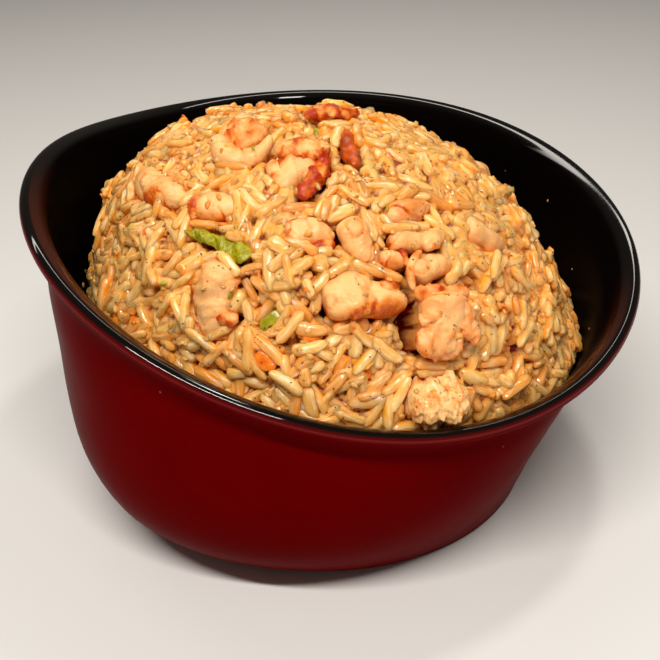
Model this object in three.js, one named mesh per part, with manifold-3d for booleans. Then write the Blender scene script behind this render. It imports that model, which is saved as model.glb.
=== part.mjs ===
// Shrimp fried rice, heaped in a slanted bowl.
//
// Units are millimetres and +Z is up. The origin is the centre of the bowl's flat base, on the
// table. A bearing is an angle round the bowl in degrees: 0 is +X, 90 is +Y, and -90 is the low
// side of the rim, from which the rice is eaten.
import * as THREE from 'three';
import Module from 'manifold-3d';

const wasm = await Module();
wasm.setup();

const DEG = Math.PI / 180;

// ---------------------------------------------------------------- driving dimensions: the bowl
const BASE_RADIUS = 53.8;
const BASE_BEVEL = 1.2;
const RIM_RADIUS = 80;
const RIM_HEIGHT = 72;
const RIM_CENTRE = { x: 2.6, y: 3.5 };
const WALL_THICKNESS = 2.6;
const FLOOR_THICKNESS = 3.6;
const FLOOR_FILLET = 4.5;
const FLOOR_EDGE_SHARE = 0.06;
const FLOOR_STEPS = [
  { rise: 0.3, inset: 0.3 },
  { rise: 0, inset: 1 },
];
const LIP_OVERHANG = 4;

// The rim is no circle and isn't level. A wave has a number of crests, a size in millimetres and
// the bearing of one crest.
const RIM_OUTLINE = [
  { crests: 2, size: 5.0, at: 79 },
  { crests: 3, size: 2.4, at: -16 },
];
const RIM_SLANT = [
  { crests: 1, size: 14.6, at: 146 },
  { crests: 2, size: 6.6, at: 24 },
  { crests: 3, size: 0.9, at: -32 },
];

// How full the wall is: 1 is a straight cone, 6 turns up sharply from the base.
const WALL_FULLNESS = 4.7;
const WALL_FULLNESS_SWING = [{ crests: 1, size: 3.7, at: 158 }];
const WALL_FULLNESS_LEAST = 0.9;
const WALL_FULLNESS_MOST = 6;

// The lip in section, as steps inward from the rim's outer edge and down from its top.
const LIP_SECTION = [
  { inward: 1.7, down: 3.3 },
  { inward: 0.4, down: 2.7 },
  { inward: 0.0, down: 1.5 },
  { inward: 0.4, down: 0.5 },
  { inward: 1.4, down: 0.0 },
  { inward: 3.0, down: 0.4 },
  { inward: 4.6, down: 1.4 },
  { inward: 5.8, down: 3.0 },
];

// Shallow dents pressed into the outer wall.
const DENTS = [
  { bearing: -27, height: 26, spread: 15, depth: 1.1 },
  { bearing: 213, height: 46, spread: 13, depth: 0.9 },
  { bearing: 75, height: 34, spread: 16, depth: 1.0 },
  { bearing: 140, height: 30, spread: 13, depth: 0.8 },
];

const BOWL_SIDES = 60;
const OUTER_SHARES = [0.012, 0.05, 0.11, 0.19, 0.3, 0.43, 0.58, 0.75, 0.9];
const INNER_SHARES = [0.88, 0.74, 0.58, 0.43, 0.3, 0.2, 0.13];

// Below this share of the rim's height the hollow follows the wall, above it the lip.
const LIP_SHARE = 0.93;
const BEARING_STEPS = 4;
const FILLET_REACH = 8;

// ---------------------------------------------------------------- driving dimensions: the rice
// The mound is a squarish dome, a little longer one way than the other, on a short upright
// column. Its top leans to one side and tips: each millimetre along +X or +Y lifts it by the tilt.
const MOUND_TOP = 98.3;
const MOUND_SHOULDER = 20;
const MOUND_RADIUS = 66.9;
const MOUND_OVAL = [{ crests: 2, size: 4.7, at: -72 }];
const MOUND_CENTRE = { x: 1.7, y: -3.1 };
const MOUND_LEAN = { x: -8.2, y: 1.3 };
const MOUND_TILT = { x: -0.02, y: -0.18 };
const MOUND_SQUARENESS = 2.45;
const CORE_DEPTH = 2.3;
const CORE_BUMP = 0.9;
const CORE_DETAIL = 8;
const COLUMN_SHARE = 0.45;

// Low in the bowl the rice has spread to the wall: it lies against it up to BED_FALL below
// BED_LEVEL. Above that it stands off the wall, the more the nearer it is to the high back.
const BED_LEVEL = 51;
const BED_FALL = 11;
const TOUCH_GAP = 0.7;
const BACK_GAP = 7;
const BACK_BEARING = 125;

const CLEARANCE = 0.3;
const SEAT_STEP = 0.4;
const HIGHEST_RISE = 89.9;
const TIP_BLUNTNESS = 0.8;
const GRAIN = { length: 9.0, width: 3.9, thickness: 3.4, sides: 5, rings: 2 };
const GRAIN_SPREAD = 0.16;
const GRAIN_CURL = 16;
const GRAIN_SPACING = 10.3;
const GRAIN_LIFT = 0.35;
const GRAIN_TILT = 24;
const GRAIN_LOWEST = 34;
const GRAIN_TRIES = 5200;
const SEED = 20;

// Every piece below lies on the mound at a bearing and a rise, which is 0 at the mound's widest
// and 90 at its top. Its heading is the way its length runs: 0 round the mound, 90 uphill.
const SHRIMPS = [
  { name: 'shrimp_1', bearing: 235, rise: 73, heading: 17, length: 15, width: 8.6, curl: 170 },
  { name: 'shrimp_2', bearing: 222, rise: 53, heading: 0, length: 21, width: 9.4, curl: 25 },
  { name: 'shrimp_3', bearing: 246.5, rise: 53, heading: 10, length: 9.5, width: 8.4, curl: 0 },
  { name: 'shrimp_4', bearing: 270, rise: 64.5, heading: -120, length: 16, width: 9.8, curl: 35 },
  { name: 'shrimp_5', bearing: 250, rise: 35.5, heading: -88, length: 16.5, width: 11, curl: 20 },
  { name: 'shrimp_6', bearing: 281, rise: 37, heading: -4, length: 17.5, width: 10.8, curl: -25 },
  { name: 'shrimp_7', bearing: 295, rise: 31.5, heading: -90, length: 14.5, width: 14, curl: 15 },
  { name: 'shrimp_8', bearing: 297, rise: 41, heading: 10, length: 10.5, width: 7.4, curl: -60 },
  { name: 'shrimp_9', bearing: 296, rise: 47, heading: 0, length: 12.5, width: 6.0, curl: 20 },
  { name: 'shrimp_10', bearing: 298, rise: 53, heading: 4, length: 12, width: 6.2, curl: 30 },
  { name: 'shrimp_11', bearing: 271.5, rise: 49, heading: 0, length: 10, width: 7.2, curl: -50 },
  { name: 'shrimp_12', bearing: 282, rise: 47.5, heading: -63, length: 10.5, width: 7.8, curl: 10 },
  { name: 'shrimp_13', bearing: 289, rise: 43.5, heading: 0, length: 6, width: 5.8, curl: 0 },
  { name: 'shrimp_14', bearing: 316.5, rise: 44, heading: -39, length: 12.5, width: 7.6, curl: 15 },
  { name: 'shrimp_15', bearing: 352, rise: 86, heading: -54, length: 13, width: 7.2, curl: 30 },
  { name: 'shrimp_16', bearing: 74, rise: 60, heading: 12, length: 16, width: 8.4, curl: 90 },
  { name: 'shrimp_17', bearing: 28, rise: 42, heading: -35, length: 18, width: 9.0, curl: 60 },
  { name: 'shrimp_18', bearing: 100, rise: 38, heading: 40, length: 19, width: 9.4, curl: 45 },
  { name: 'shrimp_19', bearing: 152, rise: 50, heading: -10, length: 15, width: 9.0, curl: 100 },
];
const SHRIMP_RINGS = 5;
const SHRIMP_SIDES = 7;
const SHRIMP_TAIL = 0.62;
const SHRIMP_LIFT = 0.1;

const STRIPS = [
  { name: 'browned_strip_1', bearing: 291, rise: 69.5, heading: -103, length: 15, width: 4.4,
    thickness: 3.6, curl: 20 },
  { name: 'browned_strip_2', bearing: 60, rise: 52, heading: 30, length: 12, width: 4.2,
    thickness: 3.2, curl: 25 },
];
const STRIP_RINGS = 4;
const STRIP_SIDES = 6;

const CURDS = [
  { name: 'curd_1', bearing: 291, rise: 20.5, heading: -6, length: 13.5, width: 11, curl: 10 },
  { name: 'curd_2', bearing: 122, rise: 42, heading: 20, length: 12, width: 9, curl: 10 },
];

const LEAVES = [
  { name: 'leaf_1', bearing: 249, rise: 45.5, heading: -11, length: 17.5, width: 4.8, curl: -14 },
  { name: 'leaf_2', bearing: 128, rise: 60, heading: 60, length: 15, width: 4.4, curl: 30 },
];
const LEAF_THICKNESS = 0.9;
const LEAF_WAVE = 0.6;
const LEAF_WAVES = 1.5;
const LEAF_STEPS = 8;
const LEAF_LIFT = 1.5;
const LEAF_TIP_SHARE = 0.45;
const LEAF_SECTION = [[1, 1], [0, 1], [-1, 1], [-1, -1], [0, -1], [1, -1]];

// Bits of carrot, greens and dark peel that are smaller than a grain: bearing, rise, heading,
// length and width.
const BITS = [
  { bearing: 222, rise: 75, heading: 80, length: 5.6, width: 2.8 },
  { bearing: 220, rise: 25, heading: -10, length: 5.6, width: 4.2 },
  { bearing: 226, rise: 26.5, heading: -10, length: 4.2, width: 3.2 },
  { bearing: 239, rise: 32, heading: 19, length: 4.8, width: 3.4 },
  { bearing: 270, rise: 31.5, heading: -3, length: 5.2, width: 3.2 },
  { bearing: 249, rise: 22, heading: -14, length: 6.0, width: 3.2 },
  { bearing: 261, rise: 27, heading: -24, length: 6.0, width: 4.6 },
  { bearing: 279, rise: 26, heading: -90, length: 4.6, width: 2.4 },
  { bearing: 242, rise: 37, heading: 23, length: 4.6, width: 3.0 },
  { bearing: 195, rise: 59, heading: 109, length: 4.2, width: 2.6 },
  { bearing: 214, rise: 36, heading: -12, length: 4.8, width: 2.6 },
  { bearing: 214, rise: 43, heading: 25, length: 6.6, width: 3.0 },
  { bearing: 262, rise: 33.5, heading: 50, length: 6.2, width: 3.0 },
  { bearing: 280, rise: 78, heading: 67, length: 5.4, width: 3.0 },
  { bearing: 305, rise: 64, heading: -122, length: 5.6, width: 2.8 },
  { bearing: 313, rise: 61, heading: -129, length: 6.4, width: 2.8 },
  { bearing: 338, rise: 29, heading: -25, length: 4.4, width: 3.6 },
  { bearing: 55, rise: 34, heading: 20, length: 6.0, width: 3.4 },
  { bearing: 90, rise: 50, heading: -30, length: 5.6, width: 3.2 },
  { bearing: 5, rise: 60, heading: 70, length: 5.8, width: 3.0 },
  { bearing: 165, rise: 36, heading: 10, length: 6.0, width: 3.2 },
];
const BIT_RINGS = 2;
const BIT_SIDES = 4;
const BIT_LIFT = 0.3;

// ---------------------------------------------------------------- finishes
const finishes = {
  bowl: new THREE.MeshStandardMaterial({ color: 0x4a0406, roughness: 0.3, metalness: 0 }),
  rice: new THREE.MeshStandardMaterial({ color: 0xe2b673, roughness: 0.42, metalness: 0 }),
  shrimp: new THREE.MeshStandardMaterial({ color: 0xf0bb86, roughness: 0.38, metalness: 0 }),
  curd: new THREE.MeshStandardMaterial({ color: 0xf6dca0, roughness: 0.5, metalness: 0 }),
  browned: new THREE.MeshStandardMaterial({ color: 0xa8480f, roughness: 0.4, metalness: 0 }),
  leaf: new THREE.MeshStandardMaterial({ color: 0x96991f, roughness: 0.4, metalness: 0 }),
};

// ---------------------------------------------------------------- helpers
function onWaves(mean, waves, bearing) {
  let value = mean;
  for (const { crests, size, at } of waves) {
    value += size * Math.cos(crests * (bearing - at) * DEG);
  }
  return value;
}

// The same draws every time: a small generator of numbers from 0 to 1.
function makeDice(seed) {
  let state = seed;
  return () => {
    state = (state + 0x6d2b79f5) | 0;
    let mixed = Math.imul(state ^ (state >>> 15), 1 | state);
    mixed = (mixed + Math.imul(mixed ^ (mixed >>> 7), 61 | mixed)) ^ mixed;
    return ((mixed ^ (mixed >>> 14)) >>> 0) / 4294967296;
  };
}

// A closed skin through a row of rings, drawn together to a point at each end. Seen along the
// row, each ring runs anticlockwise, so that every face points out.
function loft(start, rings, end) {
  const sides = rings[0].length;
  const points = [start, ...rings.flat(), end];
  const at = (ring, side) => 1 + ring * sides + (side % sides);
  const triangles = [];
  for (let side = 0; side < sides; side += 1) {
    triangles.push(0, at(0, side + 1), at(0, side));
    for (let ring = 0; ring + 1 < rings.length; ring += 1) {
      triangles.push(at(ring, side), at(ring, side + 1), at(ring + 1, side + 1));
      triangles.push(at(ring, side), at(ring + 1, side + 1), at(ring + 1, side));
    }
    triangles.push(at(rings.length - 1, side), at(rings.length - 1, side + 1), points.length - 1);
  }
  const geometry = new THREE.BufferGeometry();
  geometry.setFromPoints(points);
  geometry.setIndex(triangles);
  return geometry;
}

function toSolid(geometry) {
  return new wasm.Manifold(new wasm.Mesh({
    numProp: 3,
    vertProperties: new Float32Array(geometry.attributes.position.array),
    triVerts: new Uint32Array(geometry.index.array),
  }));
}

function toGeometry(solid) {
  const { vertProperties, triVerts } = solid.getMesh();
  const geometry = new THREE.BufferGeometry();
  geometry.setAttribute('position', new THREE.BufferAttribute(vertProperties, 3));
  geometry.setIndex(new THREE.BufferAttribute(triVerts, 1));
  return geometry;
}

function toMesh(name, geometry, finish) {
  const mesh = new THREE.Mesh(geometry, finish);
  mesh.name = name;
  return mesh;
}

// ---------------------------------------------------------------- the bowl
function rimPoint(bearing, inward, down) {
  const radius = onWaves(RIM_RADIUS, RIM_OUTLINE, bearing) - inward;
  return new THREE.Vector3(
    RIM_CENTRE.x + radius * Math.cos(bearing * DEG),
    RIM_CENTRE.y + radius * Math.sin(bearing * DEG),
    onWaves(RIM_HEIGHT, RIM_SLANT, bearing) - down,
  );
}

function dentDepth(bearing, height) {
  let depth = 0;
  for (const dent of DENTS) {
    const turn = ((bearing - dent.bearing + 540) % 360) - 180;
    const across = turn * DEG * BASE_RADIUS;
    const distance = Math.hypot(across, height - dent.height);
    depth += dent.depth * Math.exp(-((distance / dent.spread) ** 2));
  }
  return depth;
}

// A point of the wall at a share of the rim's height, moved inward from the undented outer face.
function wallPoint(bearing, share, inward) {
  const swing = onWaves(WALL_FULLNESS, WALL_FULLNESS_SWING, bearing);
  const fullness = THREE.MathUtils.clamp(swing, WALL_FULLNESS_LEAST, WALL_FULLNESS_MOST);
  const outward = 1 - (1 - share) ** fullness;
  const foot = new THREE.Vector3(Math.cos(bearing * DEG), Math.sin(bearing * DEG), 0);
  const inset = foot.clone().multiplyScalar(inward);
  foot.multiplyScalar(BASE_RADIUS);
  const head = rimPoint(bearing, LIP_OVERHANG, 0);
  const height = head.z * share;
  return foot.lerp(head, outward).sub(inset).setZ(height);
}

function ringOf(pointAt) {
  const points = [];
  for (let side = 0; side < BOWL_SIDES; side += 1) {
    points.push(pointAt((360 * side) / BOWL_SIDES));
  }
  return points;
}

function buildBowl() {
  const rings = [ringOf((bearing) => wallPoint(bearing, 0, BASE_BEVEL))];
  for (const share of OUTER_SHARES) {
    rings.push(ringOf((bearing) => {
      const height = wallPoint(bearing, share, 0).z;
      return wallPoint(bearing, share, dentDepth(bearing, height));
    }));
  }
  for (const { inward, down } of LIP_SECTION) {
    rings.push(ringOf((bearing) => rimPoint(bearing, inward, down)));
  }
  for (const share of INNER_SHARES) {
    rings.push(ringOf((bearing) => wallPoint(bearing, share, WALL_THICKNESS)));
  }
  for (const { rise, inset } of FLOOR_STEPS) {
    rings.push(ringOf((bearing) => {
      const inward = WALL_THICKNESS + FLOOR_FILLET * inset;
      const point = wallPoint(bearing, FLOOR_EDGE_SHARE, inward);
      return point.setZ(FLOOR_THICKNESS + FLOOR_FILLET * rise);
    }));
  }
  const underside = new THREE.Vector3(0, 0, 0);
  const floor = new THREE.Vector3(0, 0, FLOOR_THICKNESS);
  return loft(underside, rings, floor);
}

// How far the bowl's hollow reaches from the origin at a bearing and a height. The wall is drawn
// round the rim's own centre, so its bearing is stepped until the point lies the right way. The
// fillet round the floor narrows it.
function hollowRadius(bearing, height) {
  let drawn = bearing;
  let point = new THREE.Vector3();
  for (let step = 0; step < BEARING_STEPS; step += 1) {
    const top = rimPoint(drawn, 0, 0).z;
    const share = THREE.MathUtils.clamp(height / top, 0, LIP_SHARE);
    point = wallPoint(drawn, share, WALL_THICKNESS);
    const miss = bearing - Math.atan2(point.y, point.x) / DEG;
    drawn += ((miss + 540) % 360) - 180;
  }
  const fillet = Math.max(0, FLOOR_THICKNESS + FILLET_REACH - height);
  return Math.hypot(point.x, point.y) - fillet;
}

// ---------------------------------------------------------------- the mound
function settle(point) {
  const bearing = Math.atan2(point.y, point.x) / DEG;
  const spread = THREE.MathUtils.smoothstep(BED_LEVEL - point.z, 0, BED_FALL);
  const away = (0.5 + 0.5 * Math.cos((bearing - BACK_BEARING) * DEG)) * (1 - spread);
  const reach = hollowRadius(bearing, point.z) - TOUCH_GAP - (BACK_GAP - TOUCH_GAP) * away;
  const radius = Math.hypot(point.x, point.y);
  const settled = Math.min(radius, reach) + spread * Math.max(reach - radius, 0);
  point.x *= settled / radius;
  point.y *= settled / radius;
  return point;
}

function moundPoint(bearing, rise, depth) {
  const across = Math.cos(rise * DEG) ** (2 / MOUND_SQUARENESS);
  const up = Math.sin(rise * DEG) ** (2 / MOUND_SQUARENESS);
  const radius = (onWaves(MOUND_RADIUS, MOUND_OVAL, bearing) - depth) * across;
  const x = radius * Math.cos(bearing * DEG);
  const y = radius * Math.sin(bearing * DEG);
  const height = MOUND_TOP - depth - MOUND_SHOULDER + MOUND_TILT.x * x + MOUND_TILT.y * y;
  const point = new THREE.Vector3(
    MOUND_CENTRE.x + MOUND_LEAN.x * up + x,
    MOUND_CENTRE.y + MOUND_LEAN.y * up + y,
    MOUND_SHOULDER + height * up,
  );
  return settle(point);
}

// The bare core: a ball of even triangles, pushed out to the mound above its shoulder, and below
// it to an upright column with a flat underside.
function buildCore(dice) {
  const ball = new THREE.IcosahedronGeometry(1, CORE_DETAIL);
  const corner = new THREE.Vector3();
  const numbers = new Map();
  const points = [];
  const triangles = [];
  const underside = FLOOR_THICKNESS + CLEARANCE;
  const discRadius = Math.sqrt(1 - COLUMN_SHARE ** 2);
  for (let index = 0; index < ball.attributes.position.count; index += 1) {
    corner.fromBufferAttribute(ball.attributes.position, index);
    const key = corner.toArray().map((value) => Math.round(value * 1e4)).join();
    if (!numbers.has(key)) {
      numbers.set(key, points.length);
      const bearing = Math.atan2(corner.y, corner.x) / DEG;
      const bump = CORE_DEPTH + CORE_BUMP * (2 * dice() - 1);
      if (corner.z >= 0) {
        points.push(moundPoint(bearing, Math.asin(Math.min(corner.z, 1)) / DEG, bump));
      } else {
        const point = moundPoint(bearing, 0, CORE_DEPTH);
        const share = Math.min(1, -corner.z / COLUMN_SHARE);
        settle(point.setZ(MOUND_SHOULDER + (underside - MOUND_SHOULDER) * share));
        if (share === 1) {
          const inward = Math.hypot(corner.x, corner.y) / discRadius;
          point.set(point.x * inward, point.y * inward, underside);
        }
        points.push(point);
      }
    }
    triangles.push(numbers.get(key));
  }
  const geometry = new THREE.BufferGeometry();
  geometry.setFromPoints(points);
  geometry.setIndex(triangles);
  return toSolid(geometry);
}

// ---------------------------------------------------------------- pieces that lie on the mound
// A seat on the bare core: its middle, the way the piece runs, the way out, and across.
function seatAt({ bearing, rise, heading }, lift) {
  const middle = moundPoint(bearing, rise, CORE_DEPTH);
  const round = moundPoint(bearing + SEAT_STEP, rise, CORE_DEPTH).sub(middle).normalize();
  const upper = moundPoint(bearing, Math.min(rise + SEAT_STEP, HIGHEST_RISE), CORE_DEPTH);
  const lower = moundPoint(bearing, Math.max(rise - SEAT_STEP, 0), CORE_DEPTH);
  const uphill = upper.sub(lower).normalize();
  const out = new THREE.Vector3().crossVectors(round, uphill).normalize();
  uphill.crossVectors(out, round);
  const along = round.clone().multiplyScalar(Math.cos(heading * DEG));
  along.addScaledVector(uphill, Math.sin(heading * DEG));
  const across = new THREE.Vector3().crossVectors(out, along);
  return { middle: middle.addScaledVector(out, lift), along, out, across };
}

// Tips the seat's run out of the surface by an angle.
function tipSeat(seat, tilt) {
  const along = seat.along.clone().multiplyScalar(Math.cos(tilt * DEG));
  along.addScaledVector(seat.out, Math.sin(tilt * DEG));
  const out = new THREE.Vector3().crossVectors(along, seat.across);
  return { middle: seat.middle, along, out, across: seat.across };
}

// Where the middle line of a bent piece is, a distance from its middle, and which way it runs.
function bendAt(seat, distance, length, curl) {
  const turn = (curl * DEG * distance) / length;
  const radius = curl === 0 ? 0 : length / (curl * DEG);
  const forward = curl === 0 ? distance : radius * Math.sin(turn);
  const aside = radius * (1 - Math.cos(turn)) - radius * (1 - Math.cos(curl * DEG / 2)) / 2;
  return {
    point: seat.middle.clone().addScaledVector(seat.along, forward).addScaledVector(seat.across, aside),
    run: seat.along.clone().multiplyScalar(Math.cos(turn)).addScaledVector(seat.across, Math.sin(turn)),
  };
}

// A rounded piece, such as a grain or a shrimp: oval sections on a bent line, thinner towards its
// tail. Growing it moves its skin outwards all over.
function morsel(seat, size, grow) {
  const { length, width, thickness = width, curl = 0, tail = 1, rings, sides } = size;
  const half = length / 2 + grow;
  const sections = [];
  for (let ring = 1; ring <= rings; ring += 1) {
    const place = -Math.cos((Math.PI * ring) / (rings + 1));
    const { point, run } = bendAt(seat, half * place, length, curl);
    const flank = new THREE.Vector3().crossVectors(run, seat.out);
    const taper = 1 + ((tail - 1) * (place + 1)) / 2;
    const swell = taper * Math.sqrt(1 - place ** 2) ** TIP_BLUNTNESS;
    const section = [];
    for (let side = 0; side < sides; side += 1) {
      const angle = (2 * Math.PI * side) / sides;
      const up = Math.cos(angle) * (thickness / 2 * swell + grow);
      const sideways = Math.sin(angle) * (width / 2 * swell + grow);
      section.push(point.clone().addScaledVector(seat.out, up).addScaledVector(flank, sideways));
    }
    sections.push(section);
  }
  const tipA = bendAt(seat, -half, length, curl).point;
  const tipB = bendAt(seat, half, length, curl).point;
  return loft(tipA, sections, tipB);
}

// A thin wavy leaf: flat sections on a bent line, wide in the middle.
function leaf(seat, { length, width, curl }, grow) {
  const half = length / 2 + grow;
  const sections = [];
  for (let step = 1; step < LEAF_STEPS; step += 1) {
    const place = (2 * step) / LEAF_STEPS - 1;
    const { point, run } = bendAt(seat, half * place, length, curl);
    const flank = new THREE.Vector3().crossVectors(seat.out, run);
    const wave = LEAF_WAVE * Math.sin(LEAF_WAVES * Math.PI * place);
    const belly = LEAF_TIP_SHARE + (1 - LEAF_TIP_SHARE) * Math.sqrt(1 - place ** 2);
    const reach = width / 2 * belly + grow;
    const depth = LEAF_THICKNESS / 2 + grow;
    const section = [];
    for (const [sideways, up] of LEAF_SECTION) {
      const fold = up * depth + wave * (sideways === 0 ? -1 : 1);
      section.push(point.clone().addScaledVector(flank, sideways * reach).addScaledVector(seat.out, fold));
    }
    sections.push(section);
  }
  const tipA = bendAt(seat, -half, length, curl).point;
  const tipB = bendAt(seat, half, length, curl).point;
  return loft(tipA, sections, tipB);
}

const shrimpSize = (shrimp) => (
  { ...shrimp, rings: SHRIMP_RINGS, sides: SHRIMP_SIDES, tail: SHRIMP_TAIL }
);
const stripSize = (strip) => ({ ...strip, rings: STRIP_RINGS, sides: STRIP_SIDES });

// Each topping is one function of how much it is grown, so that its bed in the rice can be cut
// by the same shape, a little larger.
function listToppings() {
  const toppings = [];
  for (const shrimp of SHRIMPS) {
    const seat = seatAt(shrimp, SHRIMP_LIFT * shrimp.width);
    const build = (grow) => morsel(seat, shrimpSize(shrimp), grow);
    toppings.push({ name: shrimp.name, finish: finishes.shrimp, build });
  }
  for (const curd of CURDS) {
    const seat = seatAt(curd, SHRIMP_LIFT * curd.width);
    const size = { ...curd, rings: SHRIMP_RINGS, sides: SHRIMP_SIDES };
    toppings.push({ name: curd.name, finish: finishes.curd, build: (grow) => morsel(seat, size, grow) });
  }
  for (const strip of STRIPS) {
    const seat = seatAt(strip, strip.thickness / 2);
    const build = (grow) => morsel(seat, stripSize(strip), grow);
    toppings.push({ name: strip.name, finish: finishes.browned, build });
  }
  for (const strip of LEAVES) {
    const seat = seatAt(strip, LEAF_LIFT);
    const build = (grow) => leaf(seat, strip, grow);
    toppings.push({ name: strip.name, finish: finishes.leaf, build });
  }
  return toppings;
}

// ---------------------------------------------------------------- grains and bits on the core
function reachesWall(geometry) {
  const corner = new THREE.Vector3();
  for (let index = 0; index < geometry.attributes.position.count; index += 1) {
    corner.fromBufferAttribute(geometry.attributes.position, index);
    const bearing = Math.atan2(corner.y, corner.x) / DEG;
    const rimHeight = onWaves(RIM_HEIGHT, RIM_SLANT, bearing);
    const reach = hollowRadius(bearing, corner.z) - TOUCH_GAP;
    if (corner.z < rimHeight + CLEARANCE && Math.hypot(corner.x, corner.y) > reach) {
      return true;
    }
  }
  return false;
}

function meetsAny(solid, others) {
  return others.some((other) => !solid.intersect(other).isEmpty());
}

// Grains are dropped one by one on the mound, wherever a grain's width of room is left between
// them and no topping or wall is in the way.
function listGrains(dice, beds) {
  const grains = [];
  const middles = [];
  for (let attempt = 0; attempt < GRAIN_TRIES; attempt += 1) {
    const bearing = 360 * dice();
    const rise = Math.asin(dice()) / DEG;
    const heading = 360 * dice();
    const tilt = GRAIN_TILT * (2 * dice() - 1);
    const scale = 1 + GRAIN_SPREAD * (2 * dice() - 1);
    const curl = GRAIN_CURL * (2 * dice() - 1);
    const seat = tipSeat(seatAt({ bearing, rise, heading }, GRAIN_LIFT * GRAIN.thickness), tilt);
    const low = seat.middle.z < GRAIN_LOWEST;
    if (low || middles.some((middle) => middle.distanceTo(seat.middle) < GRAIN_SPACING)) {
      continue;
    }
    const size = { ...GRAIN, length: GRAIN.length * scale, width: GRAIN.width * scale, curl };
    const geometry = morsel(seat, size, 0);
    if (reachesWall(geometry)) {
      continue;
    }
    const solid = toSolid(geometry);
    if (!meetsAny(solid, beds)) {
      middles.push(seat.middle);
      grains.push(solid);
    }
  }
  return grains;
}

function listBits(beds) {
  const bits = [];
  for (const bit of BITS) {
    const seat = seatAt(bit, BIT_LIFT * bit.width);
    const size = { ...bit, rings: BIT_RINGS, sides: BIT_SIDES };
    const solid = toSolid(morsel(seat, size, 0));
    if (!meetsAny(solid, beds)) {
      bits.push(solid);
    }
  }
  return bits;
}

// Keeps the one large piece of a solid and drops loose scraps.
function largestPiece(solid) {
  const pieces = solid.decompose();
  pieces.sort((one, other) => other.volume() - one.volume());
  return pieces[0];
}

function buildRice(toppings) {
  const dice = makeDice(SEED);
  let rice = buildCore(dice);
  const beds = toppings.map((topping) => toSolid(topping.build(CLEARANCE)));
  const grains = listGrains(dice, beds);
  for (const bed of beds) {
    rice = rice.subtract(bed);
  }
  for (const piece of [...grains, ...listBits(beds)]) {
    rice = rice.add(piece);
  }
  return toGeometry(largestPiece(rice));
}

// ---------------------------------------------------------------- the whole dish
const toppings = listToppings();
const dish = new THREE.Group();
dish.add(toMesh('bowl', buildBowl(), finishes.bowl));
dish.add(toMesh('rice', buildRice(toppings), finishes.rice));
for (const topping of toppings) {
  dish.add(toMesh(topping.name, topping.build(0), topping.finish));
}

export default dish;
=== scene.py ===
# %% [markdown]
# # Shrimp fried rice in a slanted bowl
#
# The CAD model gives the bowl, the heap of rice and every topping as plain faceted solids. This
# lesson dresses them. It first loads the model as a fixed frame, so that nothing here can drift
# from the real sizes, and then makes one piece after another: bowl, sauce-dark core, rice grains,
# shrimp, egg, seared strips, leaves, small vegetable bits, pepper and crumbs.

# %% Load the frame
import math

import bpy
import numpy as np
from mathutils import Matrix, Vector, noise
from mathutils.bvhtree import BVHTree


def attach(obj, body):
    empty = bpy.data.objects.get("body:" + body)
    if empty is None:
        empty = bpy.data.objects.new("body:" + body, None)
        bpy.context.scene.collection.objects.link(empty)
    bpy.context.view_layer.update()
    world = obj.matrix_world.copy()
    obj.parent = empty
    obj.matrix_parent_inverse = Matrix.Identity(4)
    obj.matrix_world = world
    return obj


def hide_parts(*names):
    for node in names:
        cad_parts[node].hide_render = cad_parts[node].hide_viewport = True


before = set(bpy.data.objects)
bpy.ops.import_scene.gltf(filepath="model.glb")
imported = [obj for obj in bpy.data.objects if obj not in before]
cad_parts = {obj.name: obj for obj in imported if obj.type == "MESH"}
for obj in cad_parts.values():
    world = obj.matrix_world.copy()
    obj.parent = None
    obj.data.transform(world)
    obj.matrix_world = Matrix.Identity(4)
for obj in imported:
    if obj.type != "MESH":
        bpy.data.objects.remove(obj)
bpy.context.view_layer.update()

# %% [markdown]
# ## Camera, light and floor
#
# The dish is seen from the low side of its rim, from about 29 degrees above the table, through a
# 60 mm lens from a quarter of a metre away. A near camera makes the front of the bowl look large,
# so the distance matters as much as the angle. The light is soft but not even: a square box on the
# right models the heap, and two long narrow boxes, one in front and one behind, draw the thin bright
# line along the rounded lip and the small wet glints on the grains. A wide box would only grey them.

# %% Camera
MM = 0.001
scene = bpy.context.scene
CAMERA_PLACE_MM = (0.315, -259.83, 182.75)
CAMERA_ELEVATION = 29.244
CAMERA_ROLL = -0.155
LENS_MM = 60
SENSOR_MM = 36
NEAREST_SEEN = 0.01


def add_camera():
    """A camera that looks along +Y and down, with a slight roll."""
    data = bpy.data.cameras.new("camera")
    data.lens = LENS_MM
    data.sensor_width = SENSOR_MM
    data.clip_start = NEAREST_SEEN
    camera = bpy.data.objects.new("camera", data)
    scene.collection.objects.link(camera)
    tip = Matrix.Rotation(math.radians(90 - CAMERA_ELEVATION), 4, "X")
    roll = Matrix.Rotation(math.radians(CAMERA_ROLL), 4, "Z")
    place = Matrix.Translation(Vector(CAMERA_PLACE_MM) * MM)
    camera.matrix_world = place @ tip @ roll
    return camera


scene.camera = add_camera()
scene.view_settings.view_transform = "Standard"
print("camera at", [round(value, 4) for value in scene.camera.location])

# %% Lights and floor
# Places and sizes in metres, power in watts.
LIGHTS = {
    "key_light": dict(place=(0.12, 0.06, 0.56), size=(0.06, 0.06), power=0.57),
    "front_strip": dict(place=(-0.06, -0.38, 0.58), size=(0.5, 0.03), power=4.25),
    "back_strip": dict(place=(-0.12, 0.34, 0.58), size=(0.9, 0.03), power=1.0),
}
LIGHT_TARGET = (0, 0, 0.06)
LIGHT_COLOUR = (1.0, 0.95, 0.87)
WORLD_COLOUR = (1.0, 0.9, 0.78)
WORLD_STRENGTH = 0.12
FLOOR_SIZE = 6.0
FLOOR_COLOUR = (0.84, 0.835, 0.83)
FLOOR_ROUGHNESS = 0.7


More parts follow.
